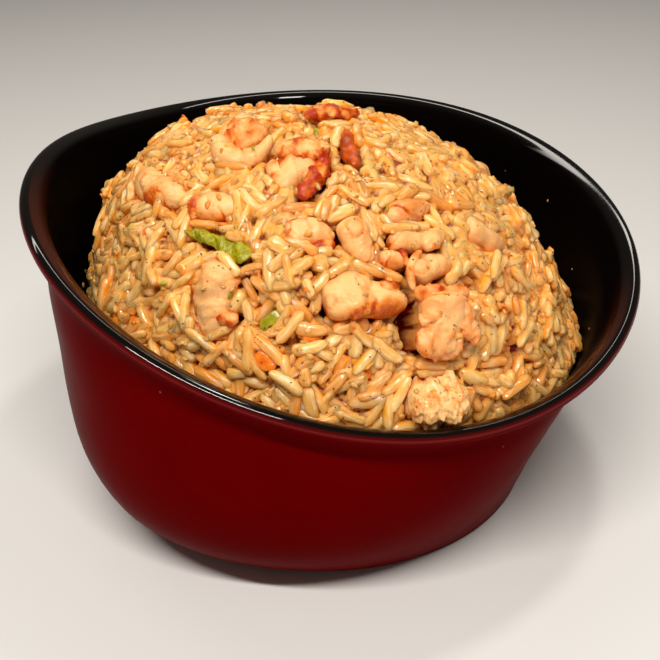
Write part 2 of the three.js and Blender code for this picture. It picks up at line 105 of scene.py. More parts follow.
def add_light(name, place, size, power):
    """A soft box that points at the middle of the dish, its long side level."""
    data = bpy.data.lights.new(name, "AREA")
    data.shape = "RECTANGLE"
    data.size, data.size_y = size
    data.energy = power
    data.color = LIGHT_COLOUR
    light = bpy.data.objects.new(name, data)
    light.location = place
    light.rotation_euler = (Vector(LIGHT_TARGET) - Vector(place)).to_track_quat("-Z", "Y").to_euler()
    scene.collection.objects.link(light)
    return light


def add_floor():
    """A pale table top, flat and plain."""
    half = FLOOR_SIZE / 2
    corners = [(-half, -half, 0), (half, -half, 0), (half, half, 0), (-half, half, 0)]
    mesh = bpy.data.meshes.new("floor")
    mesh.from_pydata(corners, [], [(0, 1, 2, 3)])
    material = bpy.data.materials.new("floor")
    material.use_nodes = True
    shader = material.node_tree.nodes["Principled BSDF"]
    shader.inputs["Base Color"].default_value = (*FLOOR_COLOUR, 1)
    shader.inputs["Roughness"].default_value = FLOOR_ROUGHNESS
    mesh.materials.append(material)
    floor = bpy.data.objects.new("floor", mesh)
    scene.collection.objects.link(floor)
    return floor


for light_name, light in LIGHTS.items():
    add_light(light_name, **light)
add_floor()
world = bpy.data.worlds.new("studio")
world.use_nodes = True
world.node_tree.nodes["Background"].inputs["Color"].default_value = (*WORLD_COLOUR, 1)
world.node_tree.nodes["Background"].inputs["Strength"].default_value = WORLD_STRENGTH
scene.world = world
print("soft lights:", len(LIGHTS))

# %% [markdown]
# ## Writing finishes as sums
#
# A food's colour is a mix of many small things: paler and darker patches, browned edges, specks.
# Such a mix is easiest to read as arithmetic. The class below wraps one socket of a shader tree, so
# that `1 - mask` or `patch * 0.4 + edge` adds the Math nodes by itself. Colours go through Mix
# nodes, because a Math node would turn them grey.

# %% Sums on shader sockets
# How far red, green and blue light spreads in moist food, as shares of its depth.
LIGHT_SPREAD = (1.0, 0.6, 0.4)


def fill_socket(tree, socket, value):
    """Links a socket to a value, or sets it."""
    if isinstance(value, Amount):
        value = value.socket
    if isinstance(value, bpy.types.NodeSocket):
        tree.links.new(value, socket)
    else:
        socket.default_value = value


def new_node(tree, kind, settings, *values, **named):
    """Adds a node: its settings first, then its sockets by order or by name, with _ for a space."""
    node = tree.nodes.new(kind)
    for key, value in settings.items():
        setattr(node, key, value)
    for socket, value in zip(node.inputs, values):
        fill_socket(tree, socket, value)
    for key, value in named.items():
        fill_socket(tree, node.inputs[key.replace("_", " ")], value)
    return node


class Amount:
    """A number that changes over a surface: a socket with the usual operators."""

    def __init__(self, finish, socket):
        self.finish = finish
        self.socket = socket

    def math(self, operation, first, second, clamp=False):
        """The result of one Math node."""
        settings = {"operation": operation, "use_clamp": clamp}
        return Amount(self.finish, self.finish.node("ShaderNodeMath", settings, first, second).outputs[0])

    def __add__(self, other):
        return self.math("ADD", self, other)

    def __radd__(self, other):
        return self.math("ADD", other, self)

    def __sub__(self, other):
        return self.math("SUBTRACT", self, other)

    def __rsub__(self, other):
        return self.math("SUBTRACT", other, self)

    def __mul__(self, other):
        return self.math("MULTIPLY", self, other)

    def __rmul__(self, other):
        return self.math("MULTIPLY", other, self)

    def __pow__(self, other):
        return self.math("POWER", self, other)

    def clamped(self):
        """The same amount, kept between 0 and 1."""
        return self.math("ADD", self, 0.0, clamp=True)

    def above(self, edge, softness):
        """0 below an edge and 1 above it, with a soft step between."""
        settings = {"interpolation_type": "SMOOTHSTEP"}
        node = self.finish.node("ShaderNodeMapRange", settings, self, edge - softness, edge + softness)
        return Amount(self.finish, node.outputs[0])


class Finish:
    """One material, with short ways to add nodes to it."""

    def __init__(self, name):
        self.material = bpy.data.materials.new(name)
        self.material.use_nodes = True
        self.tree = self.material.node_tree
        self.shader = self.tree.nodes["Principled BSDF"]
        self.place = self.node("ShaderNodeTexCoord", {}).outputs["Object"]

    def node(self, kind, settings, *values, **named):
        """Adds a node to this material's tree."""
        return new_node(self.tree, kind, settings, *values, **named)

    def noise(self, size_mm, detail=2.0, roughness=0.5):
        """Soft random patches of about a size."""
        scale = 1.0 / (size_mm * MM)
        node = self.node(
            "ShaderNodeTexNoise", {}, Vector=self.place, Scale=scale, Detail=detail, Roughness=roughness,
        )
        return Amount(self, node.outputs["Fac"])

    def streaks(self, name, stretch, shift, detail=2.0):
        """Noise on coordinates that were stored on the mesh, stretched and shifted by an amount."""
        stored = self.node("ShaderNodeAttribute", {"attribute_name": name}).outputs["Vector"]
        drawn = self.node("ShaderNodeVectorMath", {"operation": "MULTIPLY"}, stored, stretch).outputs[0]
        moved = self.node("ShaderNodeVectorMath", {"operation": "ADD"}, drawn, shift).outputs[0]
        node = self.node("ShaderNodeTexNoise", {}, Vector=moved, Scale=1.0, Detail=detail)
        return Amount(self, node.outputs["Fac"])

    def stored_height(self, name):
        """The third number of a place that was stored on the mesh under a name."""
        stored = self.node("ShaderNodeAttribute", {"attribute_name": name}).outputs["Vector"]
        return Amount(self, self.node("ShaderNodeSeparateXYZ", {}, stored).outputs[2])

    def cells(self, size_mm):
        """Distance to the nearest of many scattered points, from 0 at a point."""
        node = self.node("ShaderNodeTexVoronoi", {}, Vector=self.place, Scale=1.0 / (size_mm * MM))
        return Amount(self, node.outputs["Distance"])

    def painted(self, name):
        """An amount that was stored on the mesh under a name."""
        node = self.node("ShaderNodeAttribute", {"attribute_name": name})
        return Amount(self, node.outputs["Fac"])

    def mix(self, share, first, second):
        """A colour between two, by a share."""
        node = self.node("ShaderNodeMix", {"data_type": "RGBA"}, share)
        fill_socket(self.tree, node.inputs[6], first)
        fill_socket(self.tree, node.inputs[7], second)
        return node.outputs[2]

    def relief(self, height, depth_mm):
        """Feeds the shader a bump of a depth."""
        node = self.node("ShaderNodeBump", {}, Strength=1.0, Distance=depth_mm * MM, Height=height)
        fill_socket(self.tree, self.shader.inputs["Normal"], node.outputs[0])

    def surface(self, **sockets):
        """Sets or links sockets of the shader, with _ for a space in a name."""
        for key, value in sockets.items():
            fill_socket(self.tree, self.shader.inputs[key.replace("_", " ")], value)
        return self.material

    def moist(self, base, roughness, gloss, see_through, light_depth_mm, spread=LIGHT_SPREAD):
        """The surface of moist food, which lets light in for a short way."""
        return self.surface(
            Base_Color=base, Roughness=roughness, Specular_IOR_Level=gloss, Subsurface_Weight=see_through,
            Subsurface_Radius=spread, Subsurface_Scale=light_depth_mm * MM,
        )


print("shader helpers ready")

# %% [markdown]
# ## The palette
#
# All colours of the dish in one place, as they are seen on a screen, from 0 to 255. Fried food is
# warm: hardly any of them has much blue in it, and the darks are red-brown rather than grey. The
# finishes below call them by name.

# %% Colours by name
PALETTE = {
    # Bowl. The brown for the lip's inner slope is a painted reflection of the rice.
    "lacquer_red": (84, 0, 1), "lacquer_red_light": (102, 0, 2), "lacquer_black": (4, 2, 2),
    "lacquer_black_light": (9, 5, 4), "lip_reflection_brown": (70, 27, 12), "lacquer_speck": (170, 130, 110),
    # Shrimp.
    "shrimp_cream": (250, 188, 110), "shrimp_pale": (253, 208, 146), "shrimp_pink": (246, 156, 98),
    "shrimp_stain": (244, 160, 80), "shrimp_mottle": (240, 164, 80), "shrimp_golden": (238, 132, 36),
    "shrimp_brown": (196, 74, 8), "shrimp_red_sear": (172, 36, 1), "char": (52, 24, 10),
    # Curds, seared strips and leaves.
    "curd_cream": (250, 198, 122), "curd_pale": (255, 216, 154), "curd_golden": (234, 130, 34),
    "curd_brown": (150, 60, 12), "strip_red": (222, 96, 22), "strip_brown": (118, 36, 8),
    "leaf_olive": (140, 134, 2), "leaf_yellow": (178, 168, 14), "leaf_vein": (212, 200, 70),
    # Bits of vegetable.
    "carrot_deep": (234, 96, 10), "carrot_light": (254, 156, 44), "green_deep": (128, 126, 6),
    "green_light": (184, 172, 34), "peel_dark": (96, 30, 8), "peel_light": (168, 66, 16),
    # Core and grains. The pit colour, the flank colours and the crevice colour are painted shade,
    # and the near-white ridge colour is a painted glint.
    "starch_gold": (238, 156, 60), "starch_pale": (250, 192, 108), "starch_sauce": (214, 100, 8),
    "pit_shade_dark": (112, 14, 2), "grain_cream": (252, 213, 140), "grain_gold": (248, 197, 110),
    "shaded_flank_gold": (236, 162, 34), "shaded_flank_brown": (228, 138, 12), "painted_glint_white": (255, 236, 192),
    "grain_stain": (236, 126, 24), "grain_burnt": (166, 84, 26), "crevice_shade_orange": (224, 108, 6),
    # Pepper, crumbs and flecks.
    "pepper_black": (24, 15, 10), "pepper_brown": (74, 40, 20), "crumb_brown": (196, 92, 20),
    "crumb_dark": (120, 44, 8), "fleck_orange": (252, 146, 44), "fleck_carrot": (238, 104, 14),
    "fleck_yellow_green": (186, 176, 46), "fleck_olive": (138, 132, 22),
}


def colour(name):
    """A colour of the palette as the linear colour that the shader wants."""
    linear = []
    for value in PALETTE[name]:
        share = value / 255
        linear.append(share / 12.92 if share <= 0.04045 else ((share + 0.055) / 1.055) ** 2.4)
    return (*linear, 1.0)


print("colours in the palette:", len(PALETTE))

# %% [markdown]
# ## Meshes from rings
#
# Nearly every piece of this dish is a skin through a row of rings: the bowl, each grain, each
# shrimp. One function sews such rings together, closes both ends on a point and keeps the faces
# outwards. All shapes are worked out in millimetres and become metres when the mesh is made.

# %% Rings to meshes


def sew(rings, start, end):
    """Points and faces of a closed skin through rings of equal length."""
    rings = np.asarray(rings, float)
    rows, sides = rings.shape[:2]
    points = np.vstack([[start], rings.reshape(-1, 3), [end]])
    here = np.arange(sides)
    ahead = (here + 1) % sides
    faces = [(0, 1 + b, 1 + a) for a, b in zip(here, ahead)]
    for row in range(rows - 1):
        low = 1 + row * sides
        high = low + sides
        faces += [(low + a, low + b, high + b, high + a) for a, b in zip(here, ahead)]
    last = 1 + (rows - 1) * sides
    tip = len(points) - 1
    faces += [(last + a, last + b, tip) for a, b in zip(here, ahead)]
    return points, faces


def join(points, faces, more_points, more_faces):
    """The points and faces of two meshes as one."""
    moved = [tuple(index + len(points) for index in face) for face in more_faces]
    return np.vstack([points, more_points]), faces + moved


def sections(middles, run, out, high, wide):
    """Rings round a line, from how far out and aside each of their points lies."""
    flank = np.cross(run, out)
    return middles[:, None, :] + high[..., None] * out + wide[..., None] * flank[:, None, :]


def pushed(rings, middles, push):
    """Rings whose points are moved away from their middles, each by its own factor."""
    return middles[:, None, :] + (rings - middles[:, None, :]) * push[..., None]


def make_piece(name, points_mm, faces, material):
    """A smooth mesh object at the origin, in metres."""
    mesh = bpy.data.meshes.new(name)
    whole_faces = [tuple(map(int, face)) for face in faces]
    mesh.from_pydata((np.asarray(points_mm) * MM).tolist(), [], whole_faces)
    mesh.validate()
    mesh.materials.append(material)
    mesh.polygons.foreach_set("use_smooth", [True] * len(mesh.polygons))
    piece = bpy.data.objects.new(name, mesh)
    scene.collection.objects.link(piece)
    return piece


def paint(piece, name, values):
    """Stores one amount for each point of a piece's mesh."""
    attribute = piece.data.attributes.new(name, "FLOAT", "POINT")
    attribute.data.foreach_set("value", np.asarray(values, np.float32))


def paint_places(piece, name, places):
    """Stores one place for each point, so that a pattern can follow the shape."""
    attribute = piece.data.attributes.new(name, "FLOAT_VECTOR", "POINT")
    attribute.data.foreach_set("vector", np.asarray(places, np.float32).ravel())


food_pieces = []


def settle_piece(piece, slot, *nodes):
    """Lists a food piece, fixes it to the root and hides the plain parts that it stands for."""
    if slot != "bowl":
        food_pieces.append(piece)
    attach(piece, "root")
    if nodes:
        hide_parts(*nodes)


print("mesh helpers ready")

# %% [markdown]
# ## The bowl's form
#
# The bowl is moulded, and neither round nor level: its rim is a circle with a few waves in radius
# and in height, its base is a plain circle, and its wall swells between them, more on the tall left
# side than on the low right one. These are the CAD model's own formulas and sizes, so the fine bowl
# lies exactly on the plain one. Written as functions of a bearing they can be sampled as finely as
# the gloss needs: a glossy surface shows every flat facet.

# %% The bowl's formulas
BASE_RADIUS = 53.8
BASE_BEVEL = 1.2
RIM_RADIUS = 80
RIM_HEIGHT = 72
RIM_CENTRE = (2.6, 3.5)
WALL_THICKNESS = 2.6
FLOOR_THICKNESS = 3.6
FLOOR_FILLET = 4.5
FLOOR_EDGE_SHARE = 0.06
FLOOR_STEPS = [(0.3, 0.3), (0, 1)]
LIP_OVERHANG = 4
RIM_OUTLINE = [(2, 5.0, 79), (3, 2.4, -16)]
RIM_SLANT = [(1, 14.6, 146), (2, 6.6, 24), (3, 0.9, -32)]
WALL_FULLNESS = 4.7
WALL_FULLNESS_SWING = [(1, 3.7, 158)]
WALL_FULLNESS_RANGE = (0.9, 6)
LIP_SECTION = [
    (1.7, 3.3), (0.4, 2.7), (0.0, 1.5), (0.4, 0.5), (1.4, 0.0), (3.0, 0.4), (4.6, 1.4), (5.8, 3.0),
]
DENTS = [(-27, 26, 15, 1.1), (213, 46, 13, 0.9), (75, 34, 16, 1.0), (140, 30, 13, 0.8)]
OUTER_SHARES = [0.012, 0.05, 0.11, 0.19, 0.3, 0.43, 0.58, 0.75, 0.9]
INNER_SHARES = [0.88, 0.74, 0.58, 0.43, 0.3, 0.2, 0.13]


def on_waves(mean, waves, bearing):
    """A mean plus waves, each with a number of crests, a size and the bearing of one crest."""
    value = np.full(np.shape(bearing), float(mean))
    for crests, size, at in waves:
        value = value + size * np.cos(np.radians(crests * (bearing - at)))
    return value


def around(bearing):
    """Unit steps outwards at bearings, flat on the table."""
    angle = np.radians(bearing)
    return np.stack([np.cos(angle), np.sin(angle)], -1)


def rim_point(bearing, inward, down):
    """A point of the lip, inward from its outer edge and down from its top."""
    flat = around(bearing) * (on_waves(RIM_RADIUS, RIM_OUTLINE, bearing) - inward)[..., None]
    height = on_waves(RIM_HEIGHT, RIM_SLANT, bearing) - down
    return np.concatenate([flat + RIM_CENTRE, height[..., None]], -1)


def dent_depth(bearing, height):
    """How deep the shallow dents press the outer wall in."""
    depth = np.zeros(np.shape(bearing))
    for at, dent_height, spread, deepest in DENTS:
        turn = (bearing - at + 540) % 360 - 180
        distance = np.hypot(np.radians(turn) * BASE_RADIUS, height - dent_height)
        depth = depth + deepest * np.exp(-((distance / spread) ** 2))
    return depth


def wall_point(bearing, share, inward):
    """A point of the wall at a share of the rim's height, moved inward from its outer face."""
    fullness = np.clip(on_waves(WALL_FULLNESS, WALL_FULLNESS_SWING, bearing), *WALL_FULLNESS_RANGE)
    outward = (1 - (1 - share) ** fullness)[..., None]
    foot = around(bearing) * BASE_RADIUS
    head = rim_point(bearing, LIP_OVERHANG, 0)
    inset = around(bearing) * np.asarray(inward + np.zeros(np.shape(bearing)))[..., None]
    flat = foot + (head[..., :2] - foot) * outward - inset
    return np.concatenate([flat, (head[..., 2] * share)[..., None]], -1)


bearings = np.arange(0, 360, 5.0)
print("rim height from", rim_point(bearings, 0, 0)[:, 2].min().round(1), "to",
      rim_point(bearings, 0, 0)[:, 2].max().round(1), "mm")

# %% [markdown]
# ## The bowl's skin
#
# The plain solid has 28 rings of 60 points. The fine one runs a smooth curve through the same 28
# rings at 240 bearings, so the lip rolls over in one soft line. A centripetal curve is used,
# because the rings are 1 mm apart on the lip and 12 mm apart on the wall, where a plain one would
# overshoot. The amount called black is stored on the mesh: the inside and the lip are black, the
# outer wall is deep red, and the two meet in a soft line about a millimetre below the lip's top.

# %% The bowl's rings
BOWL_SIDES = 240
CURVE_STEPS = 4
# Where an amount starts and is full, in millimetres below the lip's top.
BLACK_ABOVE = (1.1, 0.3)
POLISHED_ABOVE = (2.0, 0.6)
# Where the painted reflection of the rice lies on the lip's inner slope, at the front only.
REFLECTION_ABOVE = (4.5, 1.0)
REFLECTION_BEARING = 268
REFLECTION_SPAN = (0.1, 0.7)
REFLECTION_FROM_ROW = 2


def smooth_rings(rings, steps):
    """More rings on one smooth curve through the given ones."""
    rings = np.asarray(rings)
    gaps = np.linalg.norm(np.diff(rings, axis=0), axis=-1).mean(1) ** 0.5
    knots = np.concatenate([[0], np.cumsum(gaps)])
    padded = np.concatenate([[2 * rings[0] - rings[1]], rings, [2 * rings[-1] - rings[-2]]])
    times = np.concatenate([[knots[0] - gaps[0]], knots, [knots[-1] + gaps[-1]]])
    finer = []
    for index in range(1, len(rings)):
        t0, t1, t2, t3 = times[index - 1:index + 3]
        p0, p1, p2, p3 = padded[index - 1:index + 3]
        for step in range(steps):
            t = t1 + (t2 - t1) * step / steps
            a1 = (t1 - t) / (t1 - t0) * p0 + (t - t0) / (t1 - t0) * p1
            a2 = (t2 - t) / (t2 - t1) * p1 + (t - t1) / (t2 - t1) * p2
            a3 = (t3 - t) / (t3 - t2) * p2 + (t - t2) / (t3 - t2) * p3
            b1 = (t2 - t) / (t2 - t0) * a1 + (t - t0) / (t2 - t0) * a2
            b2 = (t3 - t) / (t3 - t1) * a2 + (t - t1) / (t3 - t1) * a3
            finer.append((t2 - t) / (t2 - t1) * b1 + (t - t1) / (t2 - t1) * b2)
    finer.append(rings[-1])
    return np.asarray(finer)


def bowl_rings():
    """The rings of the plain solid at fine bearings, from the underside over the lip to the floor."""
    bearing = np.arange(BOWL_SIDES) * 360 / BOWL_SIDES
    rings = [wall_point(bearing, 0, BASE_BEVEL)]
    for share in OUTER_SHARES:
        height = wall_point(bearing, share, 0)[:, 2]
        rings.append(wall_point(bearing, share, dent_depth(bearing, height)))
    for inward, down in LIP_SECTION:
        rings.append(rim_point(bearing, inward, down))
    for share in INNER_SHARES:
        rings.append(wall_point(bearing, share, WALL_THICKNESS))
    for rise, inset in FLOOR_STEPS:
        ring = wall_point(bearing, FLOOR_EDGE_SHARE, WALL_THICKNESS + FLOOR_FILLET * inset)
        ring[:, 2] = FLOOR_THICKNESS + FLOOR_FILLET * rise
        rings.append(ring)
    return rings


def smooth_step(value, low, high):
    """0 at low and beyond, 1 at high and beyond, soft between."""
    share = np.clip((value - low) / (high - low), 0, 1)
    return share * share * (3 - 2 * share)


rings_of_bowl = smooth_rings(bowl_rings(), CURVE_STEPS)
rings_of_bowl[:, :, 2] = np.maximum(rings_of_bowl[:, :, 2], 0)
print("bowl:", len(rings_of_bowl), "rings of", BOWL_SIDES)

# %% [markdown]
# ## The bowl's finish
#
# Lacquered melamine: a hard glossy skin with no grain, a faint unevenness that only shows in the
# reflections, and a dusting of fine specks. One material serves both colours, mixed by the stored
# amount. The front of the lip's inner slope is painted a touch brown, as a painted reflection of the rice.

# %% The bowl's finish and piece


def bowl_finish():
    """Deep red outside and black inside, glossy on the lip."""
    finish = Finish("bowl_lacquer")
    patches = finish.noise(30, detail=3)
    red = finish.mix(patches, colour("lacquer_red"), colour("lacquer_red_light"))
    dark = finish.mix(patches, colour("lacquer_black"), colour("lacquer_black_light"))
    # Painted reflection: the front of the lip's inner slope is tinted brown, like the rice it faces.
    dark = finish.mix(finish.painted("lip_reflection") * 0.8, dark, colour("lip_reflection_brown"))
    skin = finish.mix(finish.painted("black"), red, dark)
    specks = 1 - finish.cells(11).above(0.024, 0.008)
    skin = finish.mix(specks * 0.3, skin, colour("lacquer_speck"))
    roughness = 0.26 + finish.noise(7, detail=4) * 0.12
    finish.relief(finish.noise(24, detail=2), 0.12)
    return finish.surface(
        Base_Color=skin, Roughness=roughness, Specular_IOR_Level=0.003,
        Coat_Weight=finish.painted("polished") * 0.8, Coat_Roughness=0.05,
    )


def near_top(down, span):
    """0 at the first depth of a span below the lip's top and 1 at the second."""
    return smooth_step(-down, -span[0], -span[1])


def add_bowl():
    """The fine bowl that stands for the plain one."""
    under = (0, 0, 0)
    floor = (0, 0, FLOOR_THICKNESS)
    points, faces = sew(rings_of_bowl, under, floor)
    bowl = make_piece("bowl_skin", points, faces, bowl_finish())
    rim_height = rings_of_bowl[:, :, 2].max(0)
    down = rim_height[None, :] - rings_of_bowl[:, :, 2]
    top_row = int(rings_of_bowl[:, :, 2].mean(1).argmax())
    rows = np.arange(len(rings_of_bowl))[:, None]
    black = np.where(rows >= top_row, 1.0, near_top(down, BLACK_ABOVE))
    bearing = np.arange(BOWL_SIDES) * 360 / BOWL_SIDES
    # Painted reflection of the rice on the lip, strongest at the front.
    front = smooth_step(np.cos(np.radians(bearing - REFLECTION_BEARING)), *REFLECTION_SPAN)
    lip_reflection = (rows > top_row + REFLECTION_FROM_ROW) * near_top(down, REFLECTION_ABOVE) * front
    polished = near_top(down, POLISHED_ABOVE)
    paint(bowl, "polished", np.concatenate([[0], polished.ravel(), [0]]))
    paint(bowl, "black", np.concatenate([[0], black.ravel(), [1]]))
    paint(bowl, "lip_reflection", np.concatenate([[0], lip_reflection.ravel(), [0]]))
    settle_piece(bowl, "bowl", "bowl")
    return bowl


bowl = add_bowl()
print("bowl:", len(bowl.data.polygons), "faces")

# %% [markdown]
# ## The heap's form
#
# Low in the bowl the rice lies against the wall. Above that it is a squarish dome, a little longer
# one way, that leans and tips. Every piece below is placed on it by a bearing round the dome and a
# rise, 0 at its widest and 90 at its top. A seat is such a place with its three directions: along
# the piece, out of the heap, and across.

# %% The heap's formulas
MOUND_TOP = 98.3
MOUND_SHOULDER = 20
MOUND_RADIUS = 66.9
MOUND_OVAL = [(2, 4.7, -72)]
MOUND_CENTRE = (1.7, -3.1)
MOUND_LEAN = (-8.2, 1.3)
MOUND_TILT = (-0.02, -0.18)
MOUND_SQUARENESS = 2.45
CORE_DEPTH = 2.3
BED_LEVEL = 51
BED_FALL = 11
TOUCH_GAP = 0.7
BACK_GAP = 7
BACK_BEARING = 125
LIP_SHARE = 0.93
FILLET_REACH = 8
SEAT_STEP = 0.4
HIGHEST_RISE = 89.9


def hollow_radius(bearing, height):
    """How far the bowl's hollow reaches from the origin at a bearing and a height."""
    drawn = np.array(bearing, float)
    for _ in range(4):
        share = np.clip(height / rim_point(drawn, 0, 0)[..., 2], 0, LIP_SHARE)
        point = wall_point(drawn, share, WALL_THICKNESS)
        miss = bearing - np.degrees(np.arctan2(point[..., 1], point[..., 0]))
        drawn = drawn + (miss + 540) % 360 - 180
    fillet = np.maximum(0, FLOOR_THICKNESS + FILLET_REACH - height)
    return np.hypot(point[..., 0], point[..., 1]) - fillet


def settle(points, gap=TOUCH_GAP):
    """Points of the heap, kept inside the bowl and spread to its wall low down."""
    bearing = np.degrees(np.arctan2(points[..., 1], points[..., 0]))
    spread = smooth_step(BED_LEVEL - points[..., 2], 0, BED_FALL)
    away = (0.5 + 0.5 * np.cos(np.radians(bearing - BACK_BEARING))) * (1 - spread)
    reach = hollow_radius(bearing, points[..., 2]) - gap - (BACK_GAP - TOUCH_GAP) * away
    radius = np.hypot(points[..., 0], points[..., 1])
    settled = np.minimum(radius, reach) + spread * np.maximum(reach - radius, 0)
    scale = settled / np.maximum(radius, 1e-6)
    return points * np.stack([scale, scale, np.ones_like(scale)], -1)


def mound_point(bearing, rise, depth, gap=TOUCH_GAP):
    """A point of the heap, a depth below its skin."""
    bearing, rise = np.broadcast_arrays(np.asarray(bearing, float), np.asarray(rise, float))
    across = np.cos(np.radians(rise)) ** (2 / MOUND_SQUARENESS)
    up = np.sin(np.radians(rise)) ** (2 / MOUND_SQUARENESS)
    radius = (on_waves(MOUND_RADIUS, MOUND_OVAL, bearing) - depth) * across
    flat = around(bearing) * radius[..., None]
    height = MOUND_TOP - depth - MOUND_SHOULDER + flat @ np.array(MOUND_TILT)
    place = flat + np.array(MOUND_CENTRE) + up[..., None] * np.array(MOUND_LEAN)
    point = np.concatenate([place, (MOUND_SHOULDER + height * up)[..., None]], -1)
    return settle(point, gap)


def unit(vectors):
    """Vectors scaled to length 1."""
    return vectors / np.linalg.norm(vectors, axis=-1, keepdims=True)


def seats(bearing, rise, heading, depth=CORE_DEPTH):
    """Places on the heap and their directions: middle, along, out and across."""
    asked = [np.asarray(value, float) for value in (bearing, rise, heading)]
    bearing, rise, heading = np.broadcast_arrays(*asked)
    middle = mound_point(bearing, rise, depth)
    round_way = unit(mound_point(bearing + SEAT_STEP, rise, depth) - middle)
    upper = mound_point(bearing, np.minimum(rise + SEAT_STEP, HIGHEST_RISE), depth)
    lower = mound_point(bearing, np.maximum(rise - SEAT_STEP, 0), depth)
    out = unit(np.cross(round_way, unit(upper - lower)))
    uphill = np.cross(out, round_way)
    turn = np.radians(heading)[..., None]
    along = round_way * np.cos(turn) + uphill * np.sin(turn)
    return middle, along, out, np.cross(out, along)


print("top of the heap:", mound_point(0.0, HIGHEST_RISE, 0).round(1), "mm")

# %% [markdown]
# ## Toppings come first
#
# Grains lie round the larger pieces, so the larger pieces must be known before any grain is laid.
# Each shrimp, curd, strip, leaf and bit is a row of sections along a bent line through its seat.
# The same line also gives a few balls that fill the piece. The grains only ever look at balls.

# %% Bent lines and toppings
SHRIMP_LIFT = 0.1
SHRIMP_TAIL = 0.62
STANDS_PROUD = 1.1


def bend(seat, distance, length, curl):
    """Points and run of a bent line at distances from its middle."""
    middle, along, _, across = seat
    distance = np.asarray(distance, float)
    turn = math.radians(curl) * distance / length
    if curl == 0:
        forward = distance
        aside = np.zeros_like(distance)
    else:
        radius = length / math.radians(curl)
        forward = radius * np.sin(turn)
        aside = radius * (1 - np.cos(turn)) - radius * (1 - math.cos(math.radians(curl) / 2)) / 2
    point = middle + forward[..., None] * along + aside[..., None] * across
    run = np.cos(turn)[..., None] * along + np.sin(turn)[..., None] * across
    return point, run


def lifted(seat, lift):
    """A seat moved out of the heap."""
    middle, along, out, across = seat
    return middle + lift * out, along, out, across


def filling_balls(seat, length, width, thickness, curl, tail=1.0):
    """Balls as wide as a morsel and level with its top, for the grains to keep clear of."""
    radius = width / 2
    middle, along, out, across = seat
    seat = (middle - out * (width - thickness) / 2, along, out, across)
    reach = max(length / 2 - radius * 0.8, 0.01)
    count = max(2, int(2 * reach / radius) + 1)
    distance = np.linspace(-reach, reach, count)
    middles, _ = bend(seat, distance, length, curl)
    taper = 1 + (tail - 1) * (distance / length + 0.5)
    return middles, radius * taper


print("bent lines ready")

# %% [markdown]
# ## Shrimp
#
# These are small peeled shrimp, cut up and fried: pale pink to cream flesh, in rings where the
# shell's segments sat, browned where they touched the wok. No two shrimp are alike, so each
# row says where it lies, how long, wide and curled it is, how many rings it has and how deep they
# are, and on which side and how strongly it is seared. The angle runs round the body: 0 on top, 90
# on the side that faces downhill when the piece lies level. The flesh is pressed out of round by a
# soft noise, because a clean loft looks like plastic. Torn flesh, folds and seared edges are flaps:
# small lumpy pieces that are part of the same mesh.

# %% The shrimp's places and shapes
SHRIMP_KEYS = (
    "bearing", "rise", "heading", "length", "width", "curl", "rings", "ring_depth", "sear", "sear_angle",
    "sear_end", "pink",
)
SHRIMP_ROWS = {
    "shrimp_1": (237, 73, 12, 15, 8.6, 170, 0, 0.0, 0.45, -90, 0.0, 0.10),
    "shrimp_2": (222, 53, 0, 21, 9.4, 25, 0, 0.0, 0.75, 95, -0.3, 0.10),
    "shrimp_3": (246.5, 53, 10, 9.5, 8.4, 0, 0, 0.0, 0.55, 100, -0.8, 0.15),
    "shrimp_4": (270, 64.5, -120, 16, 9.8, 35, 2, 0.06, 0.75, 90, 0.2, 0.20),
    "shrimp_5": (250, 35.5, -88, 16.5, 11, 20, 6, 0.05, 0.55, 80, 0.1, 0.15),
    "shrimp_6": (281, 37, -4, 17.5, 10.8, -25, 0, 0.0, 0.70, 85, 0.5, 0.15),
    "shrimp_7": (295, 31.5, -90, 14.5, 14, 15, 3, 0.05, 0.35, 90, -0.3, 0.35),
    "shrimp_8": (297, 41, 10, 10.5, 7.4, -60, 3, 0.05, 0.35, 80, 0.0, 0.20),
    "shrimp_9": (296, 47, 0, 12.5, 6.0, 20, 3, 0.05, 0.30, 90, -0.4, 0.25),
    "shrimp_10": (298, 53, 4, 12, 6.2, 30, 3, 0.05, 0.45, -60, -0.3, 0.60),
    "shrimp_11": (271.5, 49, 0, 10, 7.2, -50, 2, 0.05, 0.40, 100, 0.2, 0.10),
    "shrimp_12": (282, 47.5, -63, 10.5, 7.8, 10, 3, 0.05, 0.20, 0, 0.6, 0.10),
    "shrimp_13": (289, 43.5, 0, 6, 5.8, 0, 0, 0.0, 0.75, 60, 0.0, 0.40),
    "shrimp_14": (316.5, 44, -39, 12.5, 7.6, 15, 2, 0.05, 0.25, 90, 0.2, 0.10),
    "shrimp_15": (352, 86, -54, 13, 7.2, 30, 3, 0.08, 0.70, 20, 0.2, 0.25),
    "shrimp_16": (74, 60, 12, 16, 8.4, 90, 4, 0.09, 0.50, 90, 0.0, 0.25),
    "shrimp_17": (28, 42, -35, 18, 9.0, 60, 5, 0.10, 0.45, 90, -0.3, 0.30),
    "shrimp_18": (100, 38, 40, 19, 9.4, 45, 5, 0.11, 0.45, 70, 0.4, 0.30),
    "shrimp_19": (152, 50, -10, 15, 9.0, 100, 4, 0.10, 0.55, 90, 0.0, 0.25),
}
SHRIMPS = {name: dict(zip(SHRIMP_KEYS, row)) for name, row in SHRIMP_ROWS.items()}
FLAP_KEYS = (
    "bearing", "rise", "lift", "heading", "length", "width", "thickness", "curl", "lumps", "sear", "pink",
)
